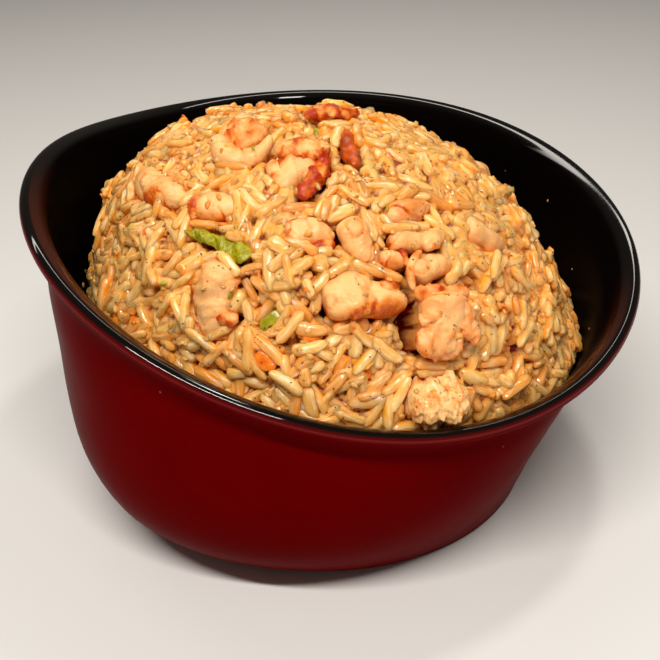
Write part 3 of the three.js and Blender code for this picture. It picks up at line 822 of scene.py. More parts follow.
FLAPS = {
    "shrimp_1": [
        (239, 72.6, 1.4, 8, 11.6, 9.4, 8.0, 0, 0.3, 0.5, 0.1),
    ],
    "shrimp_3": [
        (240, 51.5, 2.0, -60, 6.0, 3.6, 3.4, 20, 0.3, 0.75, 0.2),
    ],
    "shrimp_4": [
        (274, 60.8, 2.7, -114, 13.5, 4.2, 3.0, -12, 0.62, 0.98, 0.0),
        (271, 66.8, 4.2, 2, 12.0, 5.6, 4.0, 20, 0.42, 0.62, 0.1),
        (262.5, 62.0, 1.6, -58, 8.5, 4.2, 3.8, -20, 0.16, 0.3, 0.2),
    ],
    "shrimp_5": [
        (253.8, 33.0, 3.2, 3, 5.2, 3.2, 2.6, 0, 0.45, 0.6, 0.5),
        (246, 37, 1.6, -83, 7.5, 3.4, 3.2, 10, 0.16, 0.6, 0.2),
    ],
    "shrimp_6": [
        (285.4, 37.4, 1.5, -85, 7.0, 5.6, 5.2, 0, 0.14, 0.52, 0.1),
    ],
    "shrimp_7": [
        (295.6, 36.5, 3.9, -10, 13.0, 4.4, 3.4, 18, 0.34, 0.42, 0.8),
        (297.6, 33.4, 5.0, -11, 10.0, 4.2, 3.8, 12, 0.46, 0.16, 0.7),
        (292.0, 27.9, 3.4, -18, 9.5, 3.0, 3.0, 25, 0.22, 0.6, 0.2),
        (292.5, 29.5, 4.2, -9, 10.5, 7.0, 4.4, 0, 0.44, 0.22, 0.5),
        (298.5, 30.6, 5.2, -60, 7.5, 4.4, 3.4, 20, 0.45, 0.3, 0.6),
        (292.0, 33.4, 4.8, 20, 6.5, 4.0, 3.2, 0, 0.45, 0.42, 0.6),
    ],
    "shrimp_8": [
        (292.2, 41.3, 2.4, 66, 9.5, 2.0, 2.0, -80, 0.06, 0.25, 0.35),
    ],
    "shrimp_9": [
        (299.5, 46.2, 2.0, 25, 6.5, 4.0, 3.4, 20, 0.2, 0.25, 0.2),
    ],
    "shrimp_11": [
        (274.0, 47.0, 1.4, 10, 5.0, 2.6, 2.2, 30, 0.3, 0.85, 0.6),
    ],
    "shrimp_13": [
        (291.2, 43.6, 1.6, -80, 4.6, 1.8, 2.6, 30, 0.2, 0.95, 0.2),
    ],
    "shrimp_15": [
        (300, 84.0, 3.0, 10, 12.0, 5.0, 3.6, 20, 0.35, 0.8, 0.2),
        (330, 83.0, 2.6, -20, 9.0, 4.0, 3.2, 20, 0.3, 0.7, 0.2),
    ],
}
# shrimp_1 stands up on the heap: slimmer, longer, lower on the slope and tipped to the front.
UPRIGHT = {"shrimp_1": dict(slim=0.70, longer=1.22, lift=2.0, lower=5.4, shift=9.5, tip=34)}
AS_LAID = dict(slim=1.0, longer=1.0, lift=0.0, lower=0.0, shift=0.0, tip=0)
SHRIMP_ROW_COUNT = 56
SHRIMP_SIDE_COUNT = 36
END_BLUNTNESS = 0.62
HEAD_BLUNTNESS = 0.45
TAIL_BLUNTNESS = 0.70
FLESH_PRESS = 0.15
FLESH_PRESS_SIZE = 5.0
FOLD_SIZE = 6.0
FOLD_DEPTH = 0.09
FLESH_DIMPLES = 0.05
FLESH_DIMPLE_SIZE = 2.0
MOST_SEARED = 0.85
# Shares of the lump size, and how strong the lumps of that size are.
LUMP_LAYERS = [(1.0, 1.0), (0.42, 0.7), (0.18, 0.4)]
RING_START = 0.35
RING_WANDER = 0.9
RING_SLANT = 0.12
RING_ROUNDNESS = 0.6
RING_LEVEL = 0.75
BACK_SLOPE = 0.6
BACK_REACH = 0.55
FOLD_SPAN = (0.01, 0.08)
SEAR_TO_END = 0.9
SEAR_SPAN = (-0.2, 1.3)
# How far up the painted shade on a shrimp's low side reaches, and how strong it and the painted shade in
# folds are.
LOW_SPAN = (-0.12, 0.22)
LOW_SHADE = 0.5
FOLD_SHADE = 0.35
PINK_SPAN = (-0.6, 1.0)
CREASE_PINK = 0.45


def seat_of(piece, lift):
    """The seat of one named piece, lifted."""
    return lifted(seats(piece["bearing"], piece["rise"], piece["heading"]), lift + STANDS_PROUD)


def field_noise(points, size):
    """Soft noise at each of many points, about -0.5 to 0.5."""
    flat = points.reshape(-1, 3) / size
    return np.array([noise.noise(Vector(point)) for point in flat]).reshape(points.shape[:-1])


def morsel(seat, length, width, thickness, curl, lumps, lump_size, rows=40, sides=28):
    """Points and faces of a lumpy rounded piece."""
    place = -np.cos(np.pi * np.arange(1, rows + 1) / (rows + 1))
    middles, run = bend(seat, place * length / 2, length, curl)
    swell = np.sqrt(1 - place ** 2) ** END_BLUNTNESS
    angle = 2 * np.pi * np.arange(sides) / sides
    high = (thickness / 2 * swell)[:, None] * np.cos(angle)
    wide = (width / 2 * swell)[:, None] * np.sin(angle)
    rings = sections(middles, run, seat[2], high, wide)
    uneven = sum(strength * field_noise(rings, lump_size * share) for share, strength in LUMP_LAYERS)
    rings = pushed(rings, middles, 1 + lumps * uneven)
    start, end = bend(seat, [-length / 2, length / 2], length, curl)[0]
    return sew(rings, start, end)


def shrimp_body(shrimp, slim, longer, lift, lower, shift, tip):
    """Rings, start, end and stored amounts of one shrimp."""
    length = shrimp["length"] * longer
    place = dict(shrimp, rise=shrimp["rise"] - lower, bearing=shrimp["bearing"] + shift)
    middle, along, out, across = seat_of(place, SHRIMP_LIFT * shrimp["width"] + lift)
    turn = math.radians(tip)
    up = math.cos(turn) * out - math.sin(turn) * across
    seat = (middle, along, up, math.cos(turn) * across + math.sin(turn) * out)
    width = shrimp["width"] * slim
    place = -np.cos(np.pi * np.arange(1, SHRIMP_ROW_COUNT + 1) / (SHRIMP_ROW_COUNT + 1))
    middles, run = bend(seat, place * length / 2, length, shrimp["curl"])
    flank = np.cross(run, seat[2])
    taper = 1 + (SHRIMP_TAIL - 1) * (place + 1) / 2
    bluntness = np.where(place < 0, HEAD_BLUNTNESS, TAIL_BLUNTNESS)
    swell = taper * np.sqrt(1 - place ** 2) ** bluntness
    angle = 2 * np.pi * np.arange(SHRIMP_SIDE_COUNT) / SHRIMP_SIDE_COUNT
    skin = seat[2] * np.cos(angle)[:, None]
    round_way = skin[None] + flank[:, None, :] * np.sin(angle)[None, :, None]
    rings = middles[:, None, :] + (width / 2 * swell)[:, None, None] * round_way
    press = field_noise(rings, FLESH_PRESS_SIZE)
    dimples = field_noise(rings, FLESH_DIMPLE_SIZE)
    phase = (place[:, None] + 1) / 2 * (shrimp["rings"] + RING_START)
    phase = phase + press * RING_WANDER + RING_SLANT * np.cos(angle)
    band = np.ones_like(press)
    if shrimp["rings"]:
        band = np.abs(np.sin(np.pi * phase)) ** RING_ROUNDNESS
    back = np.clip(np.cos(angle) * BACK_SLOPE + BACK_REACH, 0, 1)
    ridge = shrimp["ring_depth"] * (band - RING_LEVEL) * (1.1 + 2.2 * dimples) * back
    fold = 1 - smooth_step(np.abs(field_noise(rings, FOLD_SIZE)), *FOLD_SPAN)
    push = 1 + ridge + FLESH_PRESS * 2 * press + FLESH_DIMPLES * 2 * dimples - FOLD_DEPTH * fold
    rings = pushed(rings, middles, push)
    start, end = bend(seat, [-length / 2, length / 2], length, shrimp["curl"])[0]
    side = np.cos(angle - math.radians(shrimp["sear_angle"]))
    lean = side[None, :] + SEAR_TO_END * shrimp["sear_end"] * place[:, None]
    lean = lean + 1.3 * press + 0.5 * dimples
    height = (rings - seat[0]) @ seat[2]
    low = 1 - smooth_step(height, LOW_SPAN[0] * width, LOW_SPAN[1] * width)
    # Painted shade: the low side where the shrimp meets the rice, and its folds, are added to the sear, so
    # they turn golden to brown.
    sear = shrimp["sear"] * smooth_step(lean, *SEAR_SPAN) + LOW_SHADE * low * (0.7 + press)
    sear = np.clip(sear + FOLD_SHADE * fold, 0, MOST_SEARED)
    crease = (1 - band) * back[None, :]
    pink = shrimp["pink"] * smooth_step(-side[None, :] + press * 1.5, *PINK_SPAN)
    pink = pink + CREASE_PINK * crease
    return rings, start, end, sear, np.clip(pink, 0, 1), seat


shrimp_bodies = {}
for name, shrimp in SHRIMPS.items():
    shrimp_bodies[name] = shrimp_body(shrimp, **UPRIGHT.get(name, AS_LAID))
print("shrimp shapes:", len(shrimp_bodies))

# %% [markdown]
# ## The flesh's finish
#
# Cooked shrimp lets light in for a millimetre or two, so the shader gets some subsurface light. Its
# colour runs from cream through pink to a golden and then red-brown sear. The stored amounts say
# where; noise breaks their edges, and dark specks of pepper and char are scattered on top.

# %% The flesh's finish and pieces
FLAP_LUMP_SIZE = 2.0
FLAP_MOTTLE = 0.7
FLAP_SEAR = 0.75
# How much more sear colour a flap's low edge gets, as painted shade.
FLAP_LOW_SHADE = 0.3
FLAP_EDGE_SPAN = (-0.3, 0.9)
PINK_MOTTLE = 0.4


def flesh_finish():
    """Cream to pink flesh with golden and red-brown sear."""
    finish = Finish("shrimp_flesh")
    patches = finish.noise(3.2, detail=3)
    threads = finish.noise(0.7, detail=4, roughness=0.65)
    cream = finish.mix(patches, colour("shrimp_cream"), colour("shrimp_pale"))
    pink = (finish.painted("pink") + patches * 0.3 - 0.15).clamped()
    pinked = finish.mix(pink, cream, colour("shrimp_pink"))
    sear = (finish.painted("sear") * 1.15 + patches * 0.5 + threads * 0.4 - 0.5).clamped()
    stains = (finish.noise(5.0, detail=3) * 3.0 - 1.3).clamped()
    stained = finish.mix(stains * 0.3, pinked, colour("shrimp_stain"))
    mottles = finish.noise(1.1, detail=2)
    stained = finish.mix((mottles * 3.0 - 1.5).clamped() * 0.4, stained, colour("shrimp_mottle"))
    golden = finish.mix((sear * 1.4).clamped(), stained, colour("shrimp_golden"))
    browned = finish.mix((sear * 2.0 - 1.0).clamped(), golden, colour("shrimp_brown"))
    browned = finish.mix((sear * 2.2 - 1.4).clamped(), browned, colour("shrimp_red_sear"))
    char = (1 - finish.cells(2.6).above(0.10, 0.04)) * threads.above(0.5, 0.1)
    base = finish.mix((char * 0.8).clamped(), browned, colour("char"))
    finish.relief(threads + patches * 0.6 + mottles * 0.6, depth_mm=0.2)
    finish.shader.subsurface_method = "BURLEY"
    roughness = 0.08 + threads * 0.16
    return finish.moist(base, roughness, gloss=0.34, see_through=0.35, light_depth_mm=1.2)


def with_tips(amount):
    """An amount on rings as one row, with a mean for the point at either end."""
    return np.concatenate([[amount[0].mean()], amount.ravel(), [amount[-1].mean()]])


shrimp_flesh = flesh_finish()
obstacles = []
shrimp_faces = 0
for name, shrimp in SHRIMPS.items():
    rings, start, end, sear, pink, seat = shrimp_bodies[name]
    points, faces = sew(rings, start, end)
    sear = with_tips(sear)
    pink = with_tips(pink)
    for row in FLAPS.get(name, []):
        flap = dict(zip(FLAP_KEYS, row))
        flap_seat = seat_of(flap, flap["lift"])
        shape = (flap["length"], flap["width"], flap["thickness"], flap["curl"], flap["lumps"])
        flap_points, flap_faces = morsel(flap_seat, *shape, FLAP_LUMP_SIZE)
        points, faces = join(points, faces, flap_points, flap_faces)
        uneven = field_noise(flap_points, FLAP_LUMP_SIZE)
        height = (flap_points - flap_seat[0]) @ flap_seat[2] / flap["thickness"] * 2
        edge = 1 - smooth_step(height, *FLAP_EDGE_SPAN)
        # Painted shade: a flap's low edge gets more of the sear colour.
        flap_sear = flap["sear"] * FLAP_SEAR * (1 + FLAP_LOW_SHADE * edge) + FLAP_MOTTLE * uneven
        sear = np.concatenate([sear, flap_sear])
        pink = np.concatenate([pink, flap["pink"] + PINK_MOTTLE * uneven])
        obstacles.append(filling_balls(flap_seat, *shape[:4]))
    piece = make_piece(name + "_flesh", points, faces, shrimp_flesh)
    paint(piece, "sear", np.clip(sear, 0, 1))
    paint(piece, "pink", np.clip(pink, 0, 1))
    settle_piece(piece, "shrimp", name)
    shrimp_faces += len(faces)
    length, width = shrimp["length"], shrimp["width"]
    obstacles.append(filling_balls(seat, length, width, width, shrimp["curl"], SHRIMP_TAIL))
print("shrimp:", len(SHRIMPS), "pieces with", shrimp_faces, "faces in all")

# %% [markdown]
# ## Curds, seared strips and leaves
#
# The egg curds are crumbly clots, so they are lumpier than the shrimp: the same sections, pushed in
# and out by a much stronger noise. The strips are narrow and seared nearly through. A leaf is one
# thin wavy sheet with a fold along its middle.

# %% Curds and strips
CURDS = {
    "curd_1": dict(bearing=291, rise=20.5, heading=-6, length=13.5, width=11, curl=10),
    "curd_2": dict(bearing=122, rise=42, heading=20, length=12, width=9, curl=10),
}
STRIP_KEYS = ("bearing", "rise", "heading", "length", "width", "thickness", "curl")
STRIP_ROWS = {
    "browned_strip_1": (291, 69.5, -103, 15, 4.4, 3.6, 20),
    "browned_strip_2": (60, 52, 30, 12, 4.2, 3.2, 25),
}
STRIPS = {name: dict(zip(STRIP_KEYS, row)) for name, row in STRIP_ROWS.items()}
CURD_LUMPS = 0.30
CURD_LUMP_SIZE = 3.4
STRIP_LUMPS = 0.40
STRIP_LUMP_SIZE = 2.2


def curd_finish():
    """Pale crumbly egg with browned crumbs."""
    finish = Finish("egg_curd")
    patches = finish.noise(2.4, detail=4, roughness=0.6)
    fine = finish.noise(0.8, detail=3)
    pale = finish.mix(fine, colour("curd_cream"), colour("curd_pale"))
    browned = finish.mix((patches * 6.0 - 2.7).clamped() * 0.8, pale, colour("curd_golden"))
    spots = (finish.noise(1.3, detail=3) * 5 - 2.8).clamped()
    browned = finish.mix(spots * 0.8, browned, colour("curd_brown"))
    finish.relief(fine + patches, depth_mm=0.2)
    finish.shader.subsurface_method = "BURLEY"
    return finish.moist(browned, roughness=0.12, gloss=0.4, see_through=0.6, light_depth_mm=1.2)


def seared_finish():
    """Red-orange to dark brown, glossy with fat."""
    finish = Finish("seared_strip")
    patches = finish.noise(3.0, detail=3)
    fine = finish.noise(0.9, detail=3)
    base = finish.mix((patches * 2.6 - 0.8).clamped(), colour("strip_red"), colour("strip_brown"))
    finish.relief(fine + patches, depth_mm=0.2)
    return finish.moist(base, roughness=0.12, gloss=0.32, see_through=0.15, light_depth_mm=1.0)


curd_material = curd_finish()
for name, curd in CURDS.items():
    seat = seat_of(curd, SHRIMP_LIFT * curd["width"])
    size = (curd["length"], curd["width"], curd["width"], curd["curl"])
    points, faces = morsel(seat, *size, CURD_LUMPS, CURD_LUMP_SIZE, rows=70, sides=60)
    settle_piece(make_piece(name + "_crumbly", points, faces, curd_material), "curd", name)
    obstacles.append(filling_balls(seat, *size))
seared_material = seared_finish()
for name, strip in STRIPS.items():
    seat = seat_of(strip, strip["thickness"] / 2)
    size = (strip["length"], strip["width"], strip["thickness"], strip["curl"])
    points, faces = morsel(seat, *size, STRIP_LUMPS, STRIP_LUMP_SIZE, rows=36, sides=20)
    settle_piece(make_piece(name + "_seared", points, faces, seared_material), "browned", name)
    obstacles.append(filling_balls(seat, *size))
print("curds and strips:", len(CURDS) + len(STRIPS))

# %% Leaves
LEAVES = {
    "leaf_1": dict(bearing=249, rise=45.5, heading=-11, length=17.5, width=4.8, curl=-14),
    "leaf_2": dict(bearing=128, rise=60, heading=60, length=15, width=4.4, curl=30),
}
LEAF_THICKNESS = 0.7
LEAF_WAVE = 0.45
LEAF_FOLD = 0.35
LEAF_DROOP = 0.8
LEAF_ROUGHNESS = 0.5
LEAF_GRAIN = 0.9
LEAF_LIFT = 2.5
LEAF_STEPS = 70
LEAF_HALF_STEPS = 9
LEAF_BALL_THICKNESS = 1.2
# How many turns a ripple takes along the leaf, and how far it reaches.
LEAF_RIPPLES = [(9, 0.10), (23, 0.05)]
LEAF_WAIST = (0.0, 0.45)
FRILL_PACE = 3.3
FRILL_SLANT = 2.2


def leaf_finish():
    """Cooked leaf: olive with yellow-green patches and pale veins."""
    finish = Finish("cooked_leaf")
    patches = finish.noise(3.5, detail=2)
    fine = finish.noise(0.8, detail=3)
    green = finish.mix(patches.above(0.5, 0.25), colour("leaf_olive"), colour("leaf_yellow"))
    base = finish.mix((fine * 2.4 - 1.2).clamped() * 0.7, green, colour("leaf_vein"))
    finish.relief(fine + finish.noise(0.35) * 0.7, depth_mm=0.16)
    return finish.moist(base, roughness=0.16, gloss=0.4, see_through=0.3, light_depth_mm=0.8)


def leaf_mesh(seat, length, width, curl):
    """A thin wavy sheet with two lobes and a pinched waist."""
    place = np.linspace(-0.985, 0.985, LEAF_STEPS)
    middles, run = bend(seat, place * length / 2, length, curl)
    flank = np.cross(seat[2], run)
    ripple = sum(size * np.sin(pace * place) for pace, size in LEAF_RIPPLES)
    lobes = 0.62 + 0.42 * smooth_step(place, *LEAF_WAIST) + ripple
    ends = np.where(place < 0, np.sqrt(1 - place ** 2), (1 - np.abs(place) ** 5) ** 0.5)
    reach = width / 2 * lobes * ends
    across = np.linspace(-1, 1, 2 * LEAF_HALF_STEPS + 1)
    loop = np.concatenate([across, across[::-1][1:-1]])
    face = np.concatenate([np.ones(len(across)), -np.ones(len(across) - 2)])
    rings = []
    for index, at in enumerate(place):
        frill = LEAF_WAVE * np.sin(FRILL_PACE * math.pi * at + FRILL_SLANT * loop)
        spots = np.stack([loop * reach[index], at * length + 0 * loop, 0 * loop], -1)
        rough = LEAF_ROUGHNESS * field_noise(spots, LEAF_GRAIN)
        fold = -LEAF_FOLD * (1 - np.abs(loop)) + frill + rough
        droop = -LEAF_DROOP * loop ** 2
        height = fold + droop + face * LEAF_THICKNESS / 2 * (1 - 0.7 * np.abs(loop))
        ring = middles[index] + flank[index] * (loop * reach[index])[:, None] + seat[2] * height[:, None]
        rings.append(ring[::-1])
    start, end = bend(seat, [-length / 2, length / 2], length, curl)[0]
    return sew(rings, start, end)


leaf_material = leaf_finish()
for name, leaf in LEAVES.items():
    seat = seat_of(leaf, LEAF_LIFT)
    points, faces = leaf_mesh(seat, leaf["length"], leaf["width"], leaf["curl"])
    settle_piece(make_piece(name + "_wavy", points, faces, leaf_material), "leaf", name)
    obstacles.append(filling_balls(seat, leaf["length"], leaf["width"], LEAF_BALL_THICKNESS, leaf["curl"]))
print("leaves:", len(LEAVES))

# %% [markdown]
# ## Bits of carrot, green and peel
#
# Small cut vegetables lie between the grains: carrot in flat orange chips, spring onion in green
# snips, a few slivers of dark peel and browned edges. Each kind is one piece, because they share a
# finish. Carrot keeps the knife's flat faces, so its sections are squarer than a grain's.

# %% Bits
# Each bit: bearing, rise, heading, length and width.
BITS = {
    "carrot_bits": [
        (222, 75, 80, 5.6, 2.8), (220, 25, -10, 5.6, 4.2), (226, 26.5, -10, 4.2, 3.2),
        (239, 32, 19, 4.8, 3.4), (270, 31.5, -3, 5.2, 3.2), (249, 22, -14, 6.0, 3.2),
        (261, 27, -24, 6.0, 4.6), (279, 26, -90, 4.6, 2.4), (242, 37, 23, 4.6, 3.0),
        (195, 59, 109, 4.2, 2.6), (214, 36, -12, 4.8, 2.6), (55, 34, 20, 6.0, 3.4),
        (90, 50, -30, 5.6, 3.2),
    ],
    "green_bits": [
        (214, 43, 25, 6.6, 3.0), (262, 33.5, 50, 6.2, 3.0), (280, 78, 67, 5.4, 3.0),
        (5, 60, 70, 5.8, 3.0), (165, 36, 10, 6.0, 3.2),
    ],
    "peel_bits": [(305, 64, -122, 5.6, 2.8), (313, 61, -129, 6.4, 2.8), (338, 29, -25, 4.4, 3.6)],
}
BIT_LIFT = 0.55
BIT_PROUD = 0.5
BIT_SIZE = 0.85
BIT_FLATNESS = 0.5
BIT_SQUARENESS = 0.6
BIT_ENDS = 5
BIT_UNEVENNESS = 0.8
BIT_LUMP_SIZE = 2.6
BIT_GRAIN_SIZE = 1.0
BIT_ROWS = 12
BIT_SIDES = 16
BIT_COLOURS = {
    "carrot_bits": ("carrot_deep", "carrot_light"),
    "green_bits": ("green_deep", "green_light"),
    "peel_bits": ("peel_dark", "peel_light"),
}


def bit_finish(name, first, second):
    """A moist vegetable chip in two shades."""
    finish = Finish(name + "_flesh")
    patches = finish.noise(1.8, detail=3)
    base = finish.mix(patches.above(0.5, 0.25), colour(first), colour(second))
    finish.relief(patches, depth_mm=0.15)
    return finish.moist(base, roughness=0.24, gloss=0.5, see_through=0.3, light_depth_mm=1.0)


def squared(share):
    """A sine or cosine that stays longer at its ends, for squarer sections."""
    return np.sign(share) * np.abs(share) ** BIT_SQUARENESS


def chip(seat, length, width, thickness):
    """A squarish chip with softened edges."""
    place = np.concatenate([[-0.97], np.linspace(-0.86, 0.86, BIT_ROWS), [0.97]])
    middles, run = bend(seat, place * length / 2, length, 0)
    swell = (1 - np.abs(place) ** BIT_ENDS) ** 0.5
    angle = 2 * np.pi * (np.arange(BIT_SIDES) + 0.5) / BIT_SIDES
    high = (thickness / 2 * swell)[:, None] * squared(np.cos(angle))
    wide = (width / 2 * swell)[:, None] * squared(np.sin(angle))
    rings = sections(middles, run, seat[2], high, wide)
    push = field_noise(rings, BIT_LUMP_SIZE) + 0.5 * field_noise(rings, BIT_GRAIN_SIZE)
    rings = pushed(rings, middles, 1 + BIT_UNEVENNESS * push)
    start, end = bend(seat, [-length / 2, length / 2], length, 0)[0]
    return sew(rings, start, end)


for kind, rows in BITS.items():
    points = np.zeros((0, 3))
    faces = []
    for bearing, rise, heading, length, width in rows:
        seat = lifted(seats(bearing, rise, heading), BIT_LIFT * width + BIT_PROUD)
        length, width = length * BIT_SIZE, width * BIT_SIZE
        thickness = width * BIT_FLATNESS
        points, faces = join(points, faces, *chip(seat, length, width, thickness))
        obstacles.append(filling_balls(seat, length, width, thickness, 0))
    piece = make_piece(kind, points, faces, bit_finish(kind, *BIT_COLOURS[kind]))
    settle_piece(piece, "rice", "rice")
    print(kind + ":", len(rows))

# %% [markdown]
# ## Laying the rice
#
# How do a few thousand grains come to lie as if they had been scooped? A physics run would do it,
# but it is slow and the heap slumps. Dropping them one at a time is enough. For a random spot the
# grain comes down along the heap's normal until its balls touch balls that already lie there. Of
# several directions and tilts the one that sinks deepest wins, just as a real grain rolls into the
# lowest gap. Cooked rice is soft and sticky, so a grain may press a little into its neighbours. A
# grain that would end up proud of the skin is not laid, except beside a larger piece, where rice
# banks up, and in patches where the heap is lumpy. On the crumbly right side more of the grains are
# plump or broken. The draws are seeded, so every run lays the same heap.

# %% Where grains may go
# Millimetres and degrees, and the share of each kind. The last pass has shares of its own.
GRAIN_KINDS = {
    "long": dict(length=8.8, width=2.5, bend=8, share=0.26),
    "slim": dict(length=8.2, width=2.3, bend=20, share=0.22),
    "bent": dict(length=8.2, width=2.6, bend=38, share=0.14),
    "plump": dict(length=7.4, width=2.9, bend=14, share=0.22),
    "broken": dict(length=4.6, width=2.6, bend=0, share=0.16),
}
FILLER_SHARES = [0.10, 0.16, 0.06, 0.20, 0.48]
GRAIN_LAYER = 6.4
GRAIN_STATIONS = np.array([-0.36, -0.13, 0.13, 0.36])
STATION_RADII = np.array([0.80, 1.0, 1.0, 0.80])
STICKY = 1.15
STICKIER = 1.5
TOPPING_HARDNESS = 0.3
UNCOVERED = 0.85
OVERHEAD = 9
LOWEST_RISE = 4
SIZE_SPREAD = 0.085
SIZE_LIMITS = (0.78, 1.2)
SKIN_SLACK = 0.6
FILLER_SLACK = 0.4
SLACK_SPREAD = 0.3
BANK_HEIGHT = 0.9
BANK_REACH = 1.6
CRUMBLY_KINDS = ["plump", "broken"]
CRUMBLY_SHARE = 0.75
CRUMBLY_SIDE = (12, 34)
LUMP_SIZE = 9.0
LUMP_HEIGHT = 4.5
LUMP_FLOOR = 0.05
MOST_TILT = 18
WAYS_TO_LIE = 12
DEEP_GAP = -1.9
PROBE_RADIUS = 0.4
SEARCH_DEPTH = 3
PIT_ROOM = 0.8
CELL = 8.0
MOST_BALLS = 80000
SEED = 11
WALL_TABLE_STEP = 2.0
WALL_TABLE_TOP = 100
WALL_PRESS = 0.55
PIT_SEAT_DEPTH = 1.0
# Open pits: bearing, rise, heading, length and radius.
PITS = [
    (287.5, 31.5, -96, 6.5, 2.0), (304.2, 33.8, -110, 8.5, 2.1), (310.7, 23.1, -80, 4.0, 1.7),
    (258.3, 36, -70, 3.0, 1.3), (250.1, 77.4, 60, 2.0, 1.5), (266.2, 29.6, 10, 1.5, 1.2),
    (262.5, 66.5, -60, 4.0, 1.1), (246.5, 33.0, -80, 2.5, 1.0), (272.5, 34.0, 0, 1.5, 1.3),
]


class Heap:
    """Balls that already lie, in a coarse grid."""

    def __init__(self):
        self.middles = np.zeros((MOST_BALLS, 3))
        self.radii = np.zeros(MOST_BALLS)
        self.hard = np.zeros(MOST_BALLS)
        self.count = 0
        self.cells = {}

    def add(self, middles, radii, hard=0.0):
        """Puts balls in the grid. A hard one lets grains press in less."""
        for middle, radius in zip(middles, radii):
            self.middles[self.count] = middle
            self.radii[self.count] = radius
            self.hard[self.count] = hard
            key = tuple((middle // CELL).astype(int))
            self.cells.setdefault(key, []).append(self.count)
            self.count += 1

    def near_numbers(self, point):
        """The numbers of the balls in the cells round a point."""
        x, y, z = (int(value // CELL) for value in point)
        found = []
        for i in (x - 1, x, x + 1):
            for j in (y - 1, y, y + 1):
                for k in (z - 1, z, z + 1):
                    found += self.cells.get((i, j, k), [])
        return np.array(found, int)

    def near(self, point):
        """The balls in the cells round a point, with their hardness."""
        found = self.near_numbers(point)
        return self.middles[found], self.radii[found], self.hard[found]


def wall_table():
    bearing = np.arange(0, 360, WALL_TABLE_STEP)
    height = np.arange(0, WALL_TABLE_TOP, WALL_TABLE_STEP)
    return hollow_radius(*np.meshgrid(bearing, height, indexing="ij"))


WALL_TABLE = wall_table()


def clear_of_wall(middles, radii):
    """Whether balls lie inside the bowl's wall."""
    bearing = np.degrees(np.arctan2(middles[:, 1], middles[:, 0])) % 360
    column = (bearing / WALL_TABLE_STEP).astype(int) % len(WALL_TABLE)
    row = np.clip((middles[:, 2] / WALL_TABLE_STEP).astype(int), 0, WALL_TABLE.shape[1] - 1)
    room = WALL_TABLE[column, row] - np.hypot(middles[:, 0], middles[:, 1])
    return bool((room > radii * WALL_PRESS).all())


print("grid and wall table ready")

# %% [markdown]
# The drop itself is one quadratic for each pair of balls: a ball that moves along a line touches
# a resting ball where the distance equals the sum of their radii, and the outer of the two roots is
# where a falling ball stops. All pairs of one spot are worked out together. First a bed of grains is
# pressed in without any care, because only slits of it will show. Then the top grains drop on it, and
# a last pass looks for spots where the pile is still deep and tucks shorter grains in. A few pits
# stay open: dark holes are what makes a heap of rice look loose.

# %% Drop the grains
dice = np.random.default_rng(SEED)
heap = Heap()
for middles, radii in obstacles:
    heap.add(middles, radii, TOPPING_HARDNESS)
grain_balls = {name: [] for name in GRAIN_KINDS}
topping_middles = np.vstack([middles for middles, _ in obstacles])
topping_radii = np.concatenate([radii for _, radii in obstacles])
pit_middles = []
pit_radii = []
for bearing, rise, heading, length, radius in PITS:
    middle, along, _, _ = seats(bearing, rise, heading, depth=PIT_SEAT_DEPTH)
    for place in (-0.5, 0.0, 0.5):
        pit_middles.append(middle + along * place * length)
        pit_radii.append(radius)
pit_middles = np.array(pit_middles)
pit_radii = np.array(pit_radii)


def random_seats(count, lowest_rise):
    """Seats scattered over the heap's skin, more where it is wide."""
    bearing = dice.uniform(0, 360, count)
    rise = np.degrees(np.arcsin(dice.uniform(math.sin(math.radians(lowest_rise)), 1, count)))
    return seats(bearing, rise, 0.0, depth=0.0)


def falls(balls, radii, out, others, other_radii, press, floor):
    """How far out along a line each row of balls comes to rest."""
    gap = balls[:, :, None, :] - others
    toward = gap @ out
    touch = radii[:, None] + other_radii - press
    inside = toward ** 2 - (gap ** 2).sum(-1) + touch ** 2
    stop = np.where(inside > 0, -toward + np.sqrt(np.maximum(inside, 0)), floor)
    return np.maximum(stop.max((1, 2)), floor)


def drop(seat, kind, scale, slack, press, deepest=None):
    """Lets one grain fall. Gives its middle, run and out direction, or None."""
    base, along, out, across = seat
    others, other_radii, hard = heap.near(base - out * SEARCH_DEPTH)
    other_radii = other_radii + hard
    if deepest is not None and len(others):
        probe = (base[None, None, :], np.array([PROBE_RADIUS]), out)
        depth = falls(*probe, others, other_radii, PROBE_RADIUS, -GRAIN_LAYER)[0]
        if depth > deepest:
            return None
    length = kind["length"] * scale
    heading = dice.uniform(0, 2 * np.pi, WAYS_TO_LIE)
    tilt = np.radians(dice.uniform(-MOST_TILT, MOST_TILT, WAYS_TO_LIE))
    flat = np.cos(heading)[:, None] * along + np.sin(heading)[:, None] * across
    run = np.cos(tilt)[:, None] * flat + np.sin(tilt)[:, None] * out
    stations = length * GRAIN_STATIONS
    radii = kind["width"] / 2 * scale * STATION_RADII
    balls = base + run[:, None, :] * stations[None, :, None]
    floor = -GRAIN_LAYER + radii.max()
    fall = np.full(WAYS_TO_LIE, floor)
    if len(others):
        fall = falls(balls, radii, out, others, other_radii, press, floor)
    top = fall + (np.abs(np.sin(tilt))[:, None] * np.abs(stations) + radii).max(1)
    best = int(top.argmin())
    if top[best] > slack:
        return None
    middles = balls[best] + fall[best] * out
    offset = middles[:, None, :] - topping_middles
    above = offset @ out
    aside = np.sqrt(np.maximum((offset ** 2).sum(-1) - above ** 2, 0))
    if ((aside < topping_radii * UNCOVERED) & (above > 0) & (above < OVERHEAD)).any():
        return None
    pit_room = np.linalg.norm(middles[:, None, :] - pit_middles, axis=-1) - pit_radii
    if (pit_room < radii[:, None] * PIT_ROOM).any() or not clear_of_wall(middles, radii):
        return None
    heap.add(middles, radii)
    return base + fall[best] * out, run[best], out, scale


